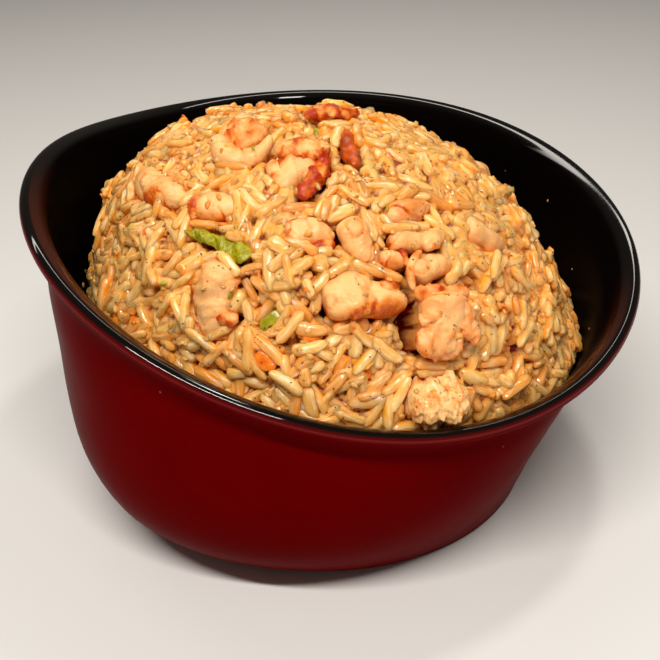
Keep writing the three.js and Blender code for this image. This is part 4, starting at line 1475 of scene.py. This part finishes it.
def keep_grain(laid, name, rest):
    """Lists a laid grain, and which balls of the heap are its own."""
    laid[name].append(rest)
    grain_balls[name].append((heap.count - len(GRAIN_STATIONS), heap.count))


def lay_grains(tries, shares, slack, press, deepest=None):
    """Drops grains of given kinds and lists where each came to rest."""
    laid = {name: [] for name in GRAIN_KINDS}
    spots = random_seats(tries, LOWEST_RISE)
    names = dice.choice(list(GRAIN_KINDS), tries, p=shares)
    crumbly = dice.uniform(0, 1, tries) < CRUMBLY_SHARE * smooth_step(spots[0][:, 0], *CRUMBLY_SIDE)
    names = np.where(crumbly, dice.choice(CRUMBLY_KINDS, tries), names)
    scales = dice.normal(1.0, SIZE_SPREAD, tries).clip(*SIZE_LIMITS)
    lumps = np.maximum(field_noise(spots[0], LUMP_SIZE) - LUMP_FLOOR, 0)
    slacks = slack + dice.exponential(SLACK_SPREAD, tries) + LUMP_HEIGHT * lumps
    for index in range(tries):
        seat = [part[index] for part in spots]
        aside = (np.linalg.norm(topping_middles - seat[0], axis=-1) - topping_radii).min()
        bank = BANK_HEIGHT * math.exp(-max(aside, 0) / BANK_REACH)
        rest = drop(seat, GRAIN_KINDS[names[index]], scales[index], slacks[index] + bank, press, deepest)
        if rest is not None:
            keep_grain(laid, names[index], rest)
    return laid


# %% The bed, the first pass and the fillers
BED_DEPTH = (2.7, 4.3)
BED_TILT = 22
BED_COUNT = 1500
BED_SIZES = (0.85, 1.1)
BED_TOPPING_GAP = 0.4
BED_PIT_GAP = 1.2
FIRST_SHARES = [kind["share"] for kind in GRAIN_KINDS.values()]


def lay_bed(count):
    """Grains pressed into each other, just under the top ones."""
    laid = {name: [] for name in GRAIN_KINDS}
    names = dice.choice(list(GRAIN_KINDS), count, p=FIRST_SHARES)
    for index, (base, along, out, across) in enumerate(zip(*random_seats(count, LOWEST_RISE))):
        kind = GRAIN_KINDS[names[index]]
        scale = dice.uniform(*BED_SIZES)
        heading = dice.uniform(0, 2 * np.pi)
        tilt = math.radians(dice.uniform(-BED_TILT, BED_TILT))
        flat = math.cos(heading) * along + math.sin(heading) * across
        run = math.cos(tilt) * flat + math.sin(tilt) * out
        middle = base - out * dice.uniform(*BED_DEPTH)
        radii = kind["width"] / 2 * scale * STATION_RADII
        middles = middle + run * (kind["length"] * scale * GRAIN_STATIONS)[:, None]
        toppings = np.linalg.norm(middles[:, None, :] - topping_middles, axis=-1) - topping_radii
        pits = np.linalg.norm(middles[:, None, :] - pit_middles, axis=-1) - pit_radii
        if toppings.min() < BED_TOPPING_GAP or pits.min() < BED_PIT_GAP:
            continue
        if not clear_of_wall(middles, radii):
            continue
        heap.add(middles, radii)
        keep_grain(laid, names[index], (middle, run, out, scale))
    return laid


bed = lay_bed(BED_COUNT)
print("bed:", {name: len(rests) for name, rests in bed.items()})
DROPS = 19000
laid = lay_grains(DROPS, FIRST_SHARES, SKIN_SLACK, STICKY)
print("first pass:", {name: len(rests) for name, rests in laid.items()})
fillers = lay_grains(DROPS // 2, FILLER_SHARES, FILLER_SLACK, STICKIER, DEEP_GAP)
for name in laid:
    laid[name] = bed[name] + laid[name] + fillers[name]
print("with fillers:", {name: len(rests) for name, rests in laid.items()})

# %% [markdown]
# ## The core under the grains
#
# Cooked rice sticks: between two grains there is no deep crack but a shallow crease, filled with
# starch and sauce. So the core is not a plain lump. It is a height field over the whole heap, one
# height for each of many bearings and rises: the outer side of the balls that lie there, blurred and
# sunk a little. The grains then stand out of it by half their thickness. In the pits, and where it
# lies lower than all around, it is deep, and there it is painted dark red-brown as shade.

# %% The core
CORE_BEARINGS = 600
CORE_RISES = 155
# Sines of the lowest and the highest rise.
CORE_RISE_SPAN = (0.03, 0.9995)
CORE_SINK = 1.7
SINK_BY_RISE = (0.5, 0.15)
SINK_PATCH = 0.7
SINK_PATCH_SIZE = 9.0
LOOSE_RISES = (28, 55)
LEAST_SINK = 0.1
UNDER_TOPPINGS = 4.0
UNDERSIDE = FLOOR_THICKNESS + 0.3
UNDERSIDE_SHARES = (0.35, 0.7, 1.0)
LOW_ROWS = 5
CORE_WALL_GAP = 1.2
FIELD_WALL_GAP = 0.72
LOWEST_ROW = 3
HOLLOW_BLURS = 5
HOLLOW_REACH = 3
HOLLOW_DEPTH = (0.5, 1.5)
PIT_DEPTH = 1.5
PIT_EDGE = (0.9, 2.2)


def core_finish():
    """Starch and sauce between the grains, with painted shade in the pits and hollows."""
    finish = Finish("saucy_starch")
    patches = finish.noise(4, detail=3)
    fine = finish.noise(0.9, detail=3)
    base = finish.mix(patches.above(0.5, 0.25), colour("starch_gold"), colour("starch_pale"))
    base = finish.mix((fine * 2.4 - 1.1).clamped() * 0.4, base, colour("starch_sauce"))
    # Painted shade: the pits and hollows are dark red-brown.
    base = finish.mix(finish.painted("deep"), base, colour("pit_shade_dark"))
    finish.relief(finish.noise(1.9, detail=3) + fine * 0.6, depth_mm=0.3)
    roughness = 0.14 + fine * 0.2
    return finish.moist(base, roughness, gloss=0.25, see_through=0.3, light_depth_mm=1.2)


def pile_height(base, out):
    """Height of what lies at a spot, along its normal."""
    others, radii, hard = heap.near(base - out * SEARCH_DEPTH)
    if not len(others):
        return -GRAIN_LAYER
    radii = radii - hard * UNDER_TOPPINGS
    offset = others - base
    along = offset @ out
    inside = radii ** 2 - (offset ** 2).sum(1) + along ** 2
    heights = np.where(inside > 0, along + np.sqrt(np.maximum(inside, 0)), -GRAIN_LAYER)
    return max(heights.max(), -GRAIN_LAYER)


def blurred(field, reach):
    """A field round the heap, blurred along each row and from row to row."""
    field = (field + np.roll(field, reach, 1) + np.roll(field, -reach, 1)) / 3
    field[1:-1] = (field[:-2] + field[1:-1] + field[2:]) / 3
    return field


def add_core():
    """The closed body under the layer of grains."""
    bearing = np.arange(CORE_BEARINGS) * 360 / CORE_BEARINGS
    rings = []
    for inward in UNDERSIDE_SHARES:
        ring = mound_point(bearing, 0, CORE_SINK, CORE_WALL_GAP)
        ring[:, 2] = UNDERSIDE
        ring = settle(ring, CORE_WALL_GAP)
        ring[:, :2] *= inward
        rings.append(ring)
    for height in np.linspace(UNDERSIDE + LOWEST_ROW, MOUND_SHOULDER, LOW_ROWS):
        ring = mound_point(bearing, 0, CORE_SINK, CORE_WALL_GAP)
        ring[:, 2] = height
        rings.append(settle(ring, CORE_WALL_GAP))
    lower = np.zeros((len(rings), CORE_BEARINGS))
    rise = np.degrees(np.arcsin(np.linspace(*CORE_RISE_SPAN, CORE_RISES)))
    base, _, out, _ = seats(bearing[None, :], rise[:, None], 0.0, depth=0.0)
    height = np.array([[pile_height(*spot) for spot in zip(*row)] for row in zip(base, out)])
    around_it = height
    for _ in range(HOLLOW_BLURS):
        around_it = blurred(around_it, HOLLOW_REACH)
    # Painted shade also goes where the core lies lower than all around it.
    hollow = smooth_step(around_it - height, *HOLLOW_DEPTH)
    loose = 1 - smooth_step(rise, *LOOSE_RISES)[:, None]
    sink = SINK_BY_RISE[1] + (SINK_BY_RISE[0] - SINK_BY_RISE[1]) * loose
    sink = sink + SINK_PATCH * field_noise(base, SINK_PATCH_SIZE)
    height = blurred(height, 1) - np.maximum(sink, LEAST_SINK)
    pit = np.linalg.norm(base[..., None, :] - pit_middles, axis=-1)
    pit_edge = pit_radii * PIT_EDGE[0]
    deep = (1 - smooth_step(pit, pit_edge, pit_edge + PIT_EDGE[1])).max(-1)
    height = height * (1 - deep) - (GRAIN_LAYER + PIT_DEPTH) * deep
    field = base + out * height[..., None]
    radius = np.hypot(field[..., 0], field[..., 1])
    field_bearing = np.degrees(np.arctan2(field[..., 1], field[..., 0]))
    reach = hollow_radius(field_bearing, field[..., 2]) - FIELD_WALL_GAP
    field[..., :2] *= np.minimum(1, reach / radius)[..., None]
    rings += list(field)
    points, faces = sew(rings, (0, 0, UNDERSIDE), field[-1].mean(0))
    core = make_piece("rice_core", points, faces, core_finish())
    paint(core, "deep", np.concatenate([[0], lower.ravel(), np.maximum(deep, hollow).ravel(), [0]]))
    settle_piece(core, "rice", "rice")
    return core


core = add_core()
core_top = max(vertex.co.z for vertex in core.data.vertices)
print("core:", len(core.data.polygons), "faces, top at", round(core_top, 4), "m")

# %% [markdown]
# ## One grain
#
# Cooked rice swells to a blunt rod with flattened sides and a shallow groove, and one end is a
# little thinner, where the germ was. A few dozen faces with smooth shading are enough at a length
# of 9 mm, and thousands of them stay affordable. A broken grain is short, so it has fewer rings.

# %% Grain shapes
GRAIN_SIDES = 8
GRAIN_ENDS = 5.0
GRAIN_FLATNESS = 0.84
GRAIN_TAPER = 0.10
GRAIN_WAVE = 0.04
GRAIN_WAVE_PACE = 7
GRAIN_GROOVE = 0.08
BROKEN_END = 0.93
GRAIN_RINGS_AT = np.array([-0.985, -0.90, -0.68, -0.25, 0.25, 0.68, 0.90, 0.985])
SHORT_RINGS_AT = np.array([-0.95, -0.78, -0.32, 0.32, 0.78, 0.95])


def grain_mesh(length, width, bend_degrees, blunt_end=False):
    """One grain along X, in millimetres."""
    flat_seat = (np.zeros(3), np.array([1.0, 0, 0]), np.array([0, 0, 1.0]), np.array([0, 1.0, 0]))
    place = SHORT_RINGS_AT if blunt_end else GRAIN_RINGS_AT
    middles, run = bend(flat_seat, place * length / 2, length, bend_degrees)
    waves = 1 + GRAIN_WAVE * np.sin(GRAIN_WAVE_PACE * place)
    swell = (1 - np.abs(place) ** GRAIN_ENDS) ** 0.5 * (1 - GRAIN_TAPER * place) * waves
    angle = 2 * np.pi * np.arange(GRAIN_SIDES) / GRAIN_SIDES
    groove = 1 - GRAIN_GROOVE * (np.cos(angle) > 0.9)
    high = (width / 2 * GRAIN_FLATNESS * swell)[:, None] * (np.cos(angle) * groove)
    wide = (width / 2 * swell)[:, None] * np.sin(angle)
    rings = sections(middles, run, flat_seat[2], high, wide)
    far_end = length / 2 * (BROKEN_END if blunt_end else 1)
    start, end = bend(flat_seat, [-length / 2, far_end], length, bend_degrees)[0]
    return sew(rings, start, end)


grain_shapes = {}
for name, kind in GRAIN_KINDS.items():
    is_broken = name == "broken"
    grain_shapes[name] = grain_mesh(kind["length"], kind["width"], kind["bend"], is_broken)
print("faces of one grain:", {name: len(faces) for name, (_, faces) in grain_shapes.items()})

# %% [markdown]
# ## Scattering by Geometry Nodes
#
# The resting places become a cloud of points that carries a turn, a size and a tone for each grain.
# A small node tree sets one grain on every point. The named inputs are the shape, the finish, the
# overall size and a seed for the tone. Realize Instances makes it plain mesh at the end, because an
# export knows nothing of instances.

# %% The scatter tree
PRESS_SIZE = 3.4
PRESS_DETAIL = 1.5
GRAIN_PRESS = 1.0
ROLL_SPREAD = 0.35
GIRTH_SPREAD = 0.07
TREE_INPUTS = {
    "Points": "Geometry", "Shape": "Object", "Finish": "Material", "Size": "Float", "Seed": "Int",
    "Press": "Float",
}


def scatter_tree():
    """Points in, one shape on each of them out."""
    tree = bpy.data.node_groups.new("scatter_on_rests", "GeometryNodeTree")
    for name, kind in TREE_INPUTS.items():
        tree.interface.new_socket(name, in_out="INPUT", socket_type="NodeSocket" + kind)
    tree.interface.new_socket("Mesh", in_out="OUTPUT", socket_type="NodeSocketGeometry")

    def add(kind, *values, settings=None, **named):
        """Adds a node and gives its outputs."""
        return new_node(tree, kind, settings or {}, *values, **named).outputs

    given = tree.nodes.new("NodeGroupInput").outputs
    shape = add("GeometryNodeObjectInfo", given["Shape"], As_Instance=True)["Geometry"]
    as_vector = {"data_type": "FLOAT_VECTOR"}
    turn = add("GeometryNodeInputNamedAttribute", "turn", settings=as_vector)["Attribute"]
    turn = add("FunctionNodeEulerToRotation", turn)[0]
    size = add("GeometryNodeInputNamedAttribute", "size", settings=as_vector)["Attribute"]
    size = add("ShaderNodeVectorMath", size, settings={"operation": "SCALE"}, Scale=given["Size"])[0]
    set_out = add(
        "GeometryNodeInstanceOnPoints", Points=given["Points"], Instance=shape, Rotation=turn, Scale=size,
    )[0]
    chance = add("FunctionNodeRandomValue", settings={"data_type": "FLOAT"}, Seed=given["Seed"])[1]
    toned = add(
        "GeometryNodeStoreNamedAttribute", settings={"domain": "INSTANCE"},
        Geometry=set_out, Name="tone", Value=chance,
    )[0]
    real = add("GeometryNodeRealizeInstances", toned)[0]
    waves = add("ShaderNodeTexNoise", Scale=1 / (PRESS_SIZE * MM), Detail=PRESS_DETAIL)["Color"]
    level = add("ShaderNodeVectorMath", waves, (0.5, 0.5, 0.5), settings={"operation": "SUBTRACT"})[0]
    push = add("ShaderNodeVectorMath", level, settings={"operation": "SCALE"}, Scale=given["Press"])[0]
    pressed = add("GeometryNodeSetPosition", Geometry=real, Offset=push)[0]
    dressed = add("GeometryNodeSetMaterial", Geometry=pressed, Material=given["Finish"])[0]
    tree.links.new(dressed, tree.nodes.new("NodeGroupOutput").inputs[0])
    return tree


SCATTER = scatter_tree()


def scatter(name, form, material, rests, seed, press=0.0):
    """A plain mesh with one form at each rest: (middle, run, out, scale)."""
    shape = make_piece(name + "_shape", *form, material)
    paint_places(shape, "grain_place", form[0])
    points = bpy.data.meshes.new(name + "_points")
    points.from_pydata([tuple(rest[0] * MM) for rest in rests], [], [])
    turns = points.attributes.new("turn", "FLOAT_VECTOR", "POINT")
    sizes = points.attributes.new("size", "FLOAT_VECTOR", "POINT")
    for index, (_, run, out, scale) in enumerate(rests):
        roll = dice.normal(0, ROLL_SPREAD)
        level = unit(np.cross(out, run))
        upright = np.cross(run, level)
        side = level * math.cos(roll) + upright * math.sin(roll)
        top = upright * math.cos(roll) - level * math.sin(roll)
        turns.data[index].vector = Matrix((run, side, top)).transposed().to_euler()
        girth = [scale * dice.normal(1, GIRTH_SPREAD) for _ in range(2)]
        sizes.data[index].vector = (scale, *girth)
    cloud = bpy.data.objects.new(name + "_cloud", points)
    scene.collection.objects.link(cloud)
    modifier = cloud.modifiers.new("scatter", "NODES")
    modifier.node_group = SCATTER
    values = {"Shape": shape, "Finish": material, "Size": 1.0, "Seed": seed, "Press": press * MM}
    for item in SCATTER.interface.items_tree:
        if item.in_out == "INPUT" and item.name in values:
            modifier[item.identifier] = values[item.name]
    graph = bpy.context.evaluated_depsgraph_get()
    mesh = bpy.data.meshes.new_from_object(cloud.evaluated_get(graph))
    mesh.name = name
    mesh.polygons.foreach_set("use_smooth", [True] * len(mesh.polygons))
    bpy.data.objects.remove(cloud)
    bpy.data.objects.remove(shape)
    piece = bpy.data.objects.new(name, mesh)
    scene.collection.objects.link(piece)
    return piece


print("scatter tree with", len(SCATTER.nodes), "nodes")

# %% [markdown]
# ## The rice's finish
#
# Fried rice is never one colour. Each grain has its own tone from cream to gold, the sauce stains
# whole patches, and thin oil makes small sharp glints over a soft, slightly see-through body. The
# tone is stored on each grain by the scatter tree, the stains follow the place in the heap. Light
# and shade are also painted into the colour: each grain is paler on its upper side and darker gold
# on its flanks, near-white streaks along its ridges stand for glints, and orange shade is painted
# where it lies close to other grains.

# %% The rice's finish and pieces
# Grains let more green and blue light through than the other food.
RICE_SPREAD = (1.0, 0.8, 0.6)
# How far the painted shade between grains reaches, and how it weakens towards the front.
CREVICE_SHADE_REACH = 0.55
FRONT_SHADE_SPAN = (-55, -15)
FRONT_SHARES = (0.6, 0.4)


def rice_finish():
    """Cream to golden grains, slightly see-through, ridged and oiled."""
    finish = Finish("oiled_rice")
    tone = finish.painted("tone")
    stain = finish.noise(13, detail=2)
    fine = finish.noise(1.1, detail=2)
    ridges = finish.streaks("grain_place", (0.3, 1.5, 1.5), tone * 90.0)
    # Painted shade: each grain is paler on its upper side and darker gold on its flanks, broken by streaks
    # and patches.
    top = finish.stored_height("grain_place").above(0.35, 1.1)
    pale = finish.mix(tone, colour("grain_cream"), colour("grain_gold"))
    flank = finish.mix(tone, colour("shaded_flank_gold"), colour("shaded_flank_brown"))
    pearl = finish.noise(2.2, detail=2)
    cream = finish.mix((top * 0.7 + ridges * 1.3 + pearl * 0.8 - 0.95).clamped(), flank, pale)
    # Painted highlight: near-white streaks along the ridges stand for glints of oil.
    cream = finish.mix((ridges * 3.6 - 1.9).clamped() * 0.8, cream, colour("painted_glint_white"))
    golden = (tone ** 4 * 0.5 + (stain * 4 - 2.1).clamped() * 0.45).clamped()
    base = finish.mix(golden, cream, colour("grain_stain"))
    burnt = ((tone - 0.965) * 14).clamped()
    base = finish.mix(burnt * fine, base, colour("grain_burnt"))
    # Painted shade: orange where a grain lies close to other grains.
    sauce = (finish.painted("crevice_shade") * 0.8 + fine * 0.5 - 0.4).clamped()
    base = finish.mix(sauce * 0.7, base, colour("crevice_shade_orange"))
    finish.relief(ridges * 1.4 + finish.noise(0.55, detail=2) * 0.8, depth_mm=0.13)
    finish.shader.subsurface_method = "BURLEY"
    roughness = 0.04 + fine * 0.07
    return finish.moist(base, roughness, 0.75, see_through=1.0, light_depth_mm=3.2, spread=RICE_SPREAD)


def crevice_shade_near_neighbours(grains, rests, balls):
    """How close each point of a grain is to other grains: painted shade goes there, less at the front."""
    points = np.empty(len(grains.data.vertices) * 3)
    grains.data.vertices.foreach_get("co", points)
    points = points.reshape(len(rests), -1, 3) / MM
    crevice_shade = np.zeros(points.shape[:2])
    for index, (grain, (first, last)) in enumerate(zip(points, balls)):
        numbers = heap.near_numbers(rests[index][0])
        numbers = numbers[(numbers < first) | (numbers >= last)]
        if len(numbers):
            gap = np.linalg.norm(grain[:, None, :] - heap.middles[numbers], axis=-1) - heap.radii[numbers]
            crevice_shade[index] = 1 - smooth_step(gap.min(1), 0, CREVICE_SHADE_REACH)
    front = smooth_step(points[..., 1], *FRONT_SHADE_SPAN)
    return (crevice_shade * (FRONT_SHARES[0] + FRONT_SHARES[1] * front)).ravel()


rice_material = rice_finish()
grain_triangles = 0
for seed, (name, rests) in enumerate(laid.items()):
    form = grain_shapes[name]
    grains = scatter("rice_grains_" + name, form, rice_material, rests, seed, GRAIN_PRESS)
    paint(grains, "crevice_shade", crevice_shade_near_neighbours(grains, rests, grain_balls[name]))
    settle_piece(grains, "rice", "rice")
    grain_triangles += sum(len(face.vertices) - 2 for face in grains.data.polygons)
print("triangles in the grains:", grain_triangles)

# %% [markdown]
# ## Pepper and crumbs
#
# What makes the heap look fried and seasoned is small: ground pepper everywhere, browned crumbs
# from the wok, broken bits of rice, flecks of carrot and green. Each kind is one small shape that
# the same scatter tree sets on rests. A rest is found by a ray towards the heap, so each flake lies
# on whatever is on top there and takes its slope.

# %% Small shapes and where they lie
FLECKS = {
    "pepper_flakes": dict(count=2200, size=(0.40, 0.30, 0.2), patch=9.0, crowd=0.10),
    "browned_crumbs": dict(count=420, size=(0.6, 0.4, 0.3), patch=12.0, crowd=0.05),
    "rice_crumbs": dict(count=900, size=(1.7, 1.2, 0.9), patch=8.0, crowd=-0.05),
    "carrot_flecks": dict(count=200, size=(1.8, 1.0, 0.6), patch=10.0, crowd=0.0),
    "green_flecks": dict(count=28, size=(2.0, 1.0, 0.5), patch=10.0, crowd=0.0),
}
FLECK_START = 16.0
FLECK_LOWEST_RISE = 10
FLECK_CHANCES = (-0.45, 0.25)
FLECK_SIZES = (0.6, 1.25)
FLECK_LIFT = 0.2
FLECK_SIDES = 5
FLECK_RINGS = [(-0.7, 0.75), (0.0, 1.0), (0.72, 0.65)]
FLECK_UNEVENNESS = 0.28
FIRST_FLECK_SEED = 20
# Bearing, share of the wall's height and size.
WALL_CRUMBS = [
    (29.5, 0.83, 0.55), (183.5, 0.58, 0.9), (181.0, 0.61, 0.7), (342, 0.8, 0.4), (12, 0.7, 0.35),
    (150, 0.8, 0.5),
]
WALL_CRUMB_LIFT = 0.2
WALL_STEP = 0.02


def skin_of(pieces):
    """A search tree over the faces of pieces, in millimetres."""
    points = []
    faces = []
    for piece in pieces:
        flat = np.empty(len(piece.data.vertices) * 3)
        piece.data.vertices.foreach_get("co", flat)
        start = len(points)
        points += (flat.reshape(-1, 3) / MM).tolist()
        faces += [tuple(start + index for index in polygon.vertices) for polygon in piece.data.polygons]
    return BVHTree.FromPolygons(points, faces)


def fleck_shape(length, width, thickness):
    """A small lumpy crumb of few faces."""
    angle = 2 * np.pi * np.arange(FLECK_SIDES) / FLECK_SIDES
    rings = []
    for place, share in FLECK_RINGS:
        uneven = 1 + FLECK_UNEVENNESS * np.sin(3.1 * angle + 5 * place)
        across = width / 2 * share * uneven * np.cos(angle)
        up = thickness / 2 * share * uneven * np.sin(angle)
        rings.append(np.stack([np.full(FLECK_SIDES, place * length / 2), across, up], -1))
    return sew(rings, (-length / 2, 0, 0), (length / 2, 0, 0))


def fleck_rests(count, patch, crowd, lift):
    """Rests on top of the food, in drifts of about a patch's size."""
    rests = []
    offset = Vector(dice.uniform(-50, 50, 3))
    for base, along, out, across in zip(*random_seats(count, FLECK_LOWEST_RISE)):
        if noise.noise(Vector(base / patch) + offset) < crowd + dice.uniform(*FLECK_CHANCES):
            continue
        hit, normal, _, _ = food_skin.ray_cast(Vector(base + out * FLECK_START), Vector(-out))
        if hit is None:
            continue
        turn = dice.uniform(0, 2 * np.pi)
        up = np.array(normal)
        flat = math.cos(turn) * along + math.sin(turn) * across
        run = unit(np.cross(np.cross(up, flat), up))
        rests.append((np.array(hit) + up * lift, run, up, dice.uniform(*FLECK_SIZES)))
    return rests


def wall_rests():
    """Crumbs of rice that stuck to the inside of the bowl above the heap."""
    rests = []
    for bearing, share, scale in WALL_CRUMBS:
        middle = wall_point(np.array(bearing), share, WALL_THICKNESS + WALL_CRUMB_LIFT)
        above = wall_point(np.array(bearing), share + WALL_STEP, WALL_THICKNESS + WALL_CRUMB_LIFT)
        inward = np.append(-around(bearing), 0.0)
        rests.append((middle, unit(above - middle), inward, scale))
    return rests


def fleck_finish(name, first, second, coat):
    """A plain two-shade finish for crumbs."""
    finish = Finish(name + "_finish")
    shade = (finish.painted("tone") * 0.7 + finish.noise(0.8) * 0.5 - 0.1).clamped()
    base = finish.mix(shade, colour(first), colour(second))
    return finish.surface(Base_Color=base, Roughness=0.4, Coat_Weight=coat, Coat_Roughness=0.1)


FLECK_FINISHES = {
    "pepper_flakes": fleck_finish("pepper_flakes", "pepper_black", "pepper_brown", 0.0),
    "browned_crumbs": fleck_finish("browned_crumbs", "crumb_brown", "crumb_dark", 0.2),
    "rice_crumbs": rice_material,
    "carrot_flecks": fleck_finish("carrot_flecks", "fleck_orange", "fleck_carrot", 0.25),
    "green_flecks": fleck_finish("green_flecks", "fleck_yellow_green", "fleck_olive", 0.2),
}
food_skin = skin_of(food_pieces)
for seed, (name, fleck) in enumerate(FLECKS.items(), FIRST_FLECK_SEED):
    form = fleck_shape(*fleck["size"])
    lift = fleck["size"][2] * FLECK_LIFT
    rests = fleck_rests(fleck["count"], fleck["patch"], fleck["crowd"], lift)
    if name == "rice_crumbs":
        rests += wall_rests()
    flecks = scatter(name, form, FLECK_FINISHES[name], rests, seed)
    settle_piece(flecks, "rice", "rice")
    print(name + ":", len(rests))
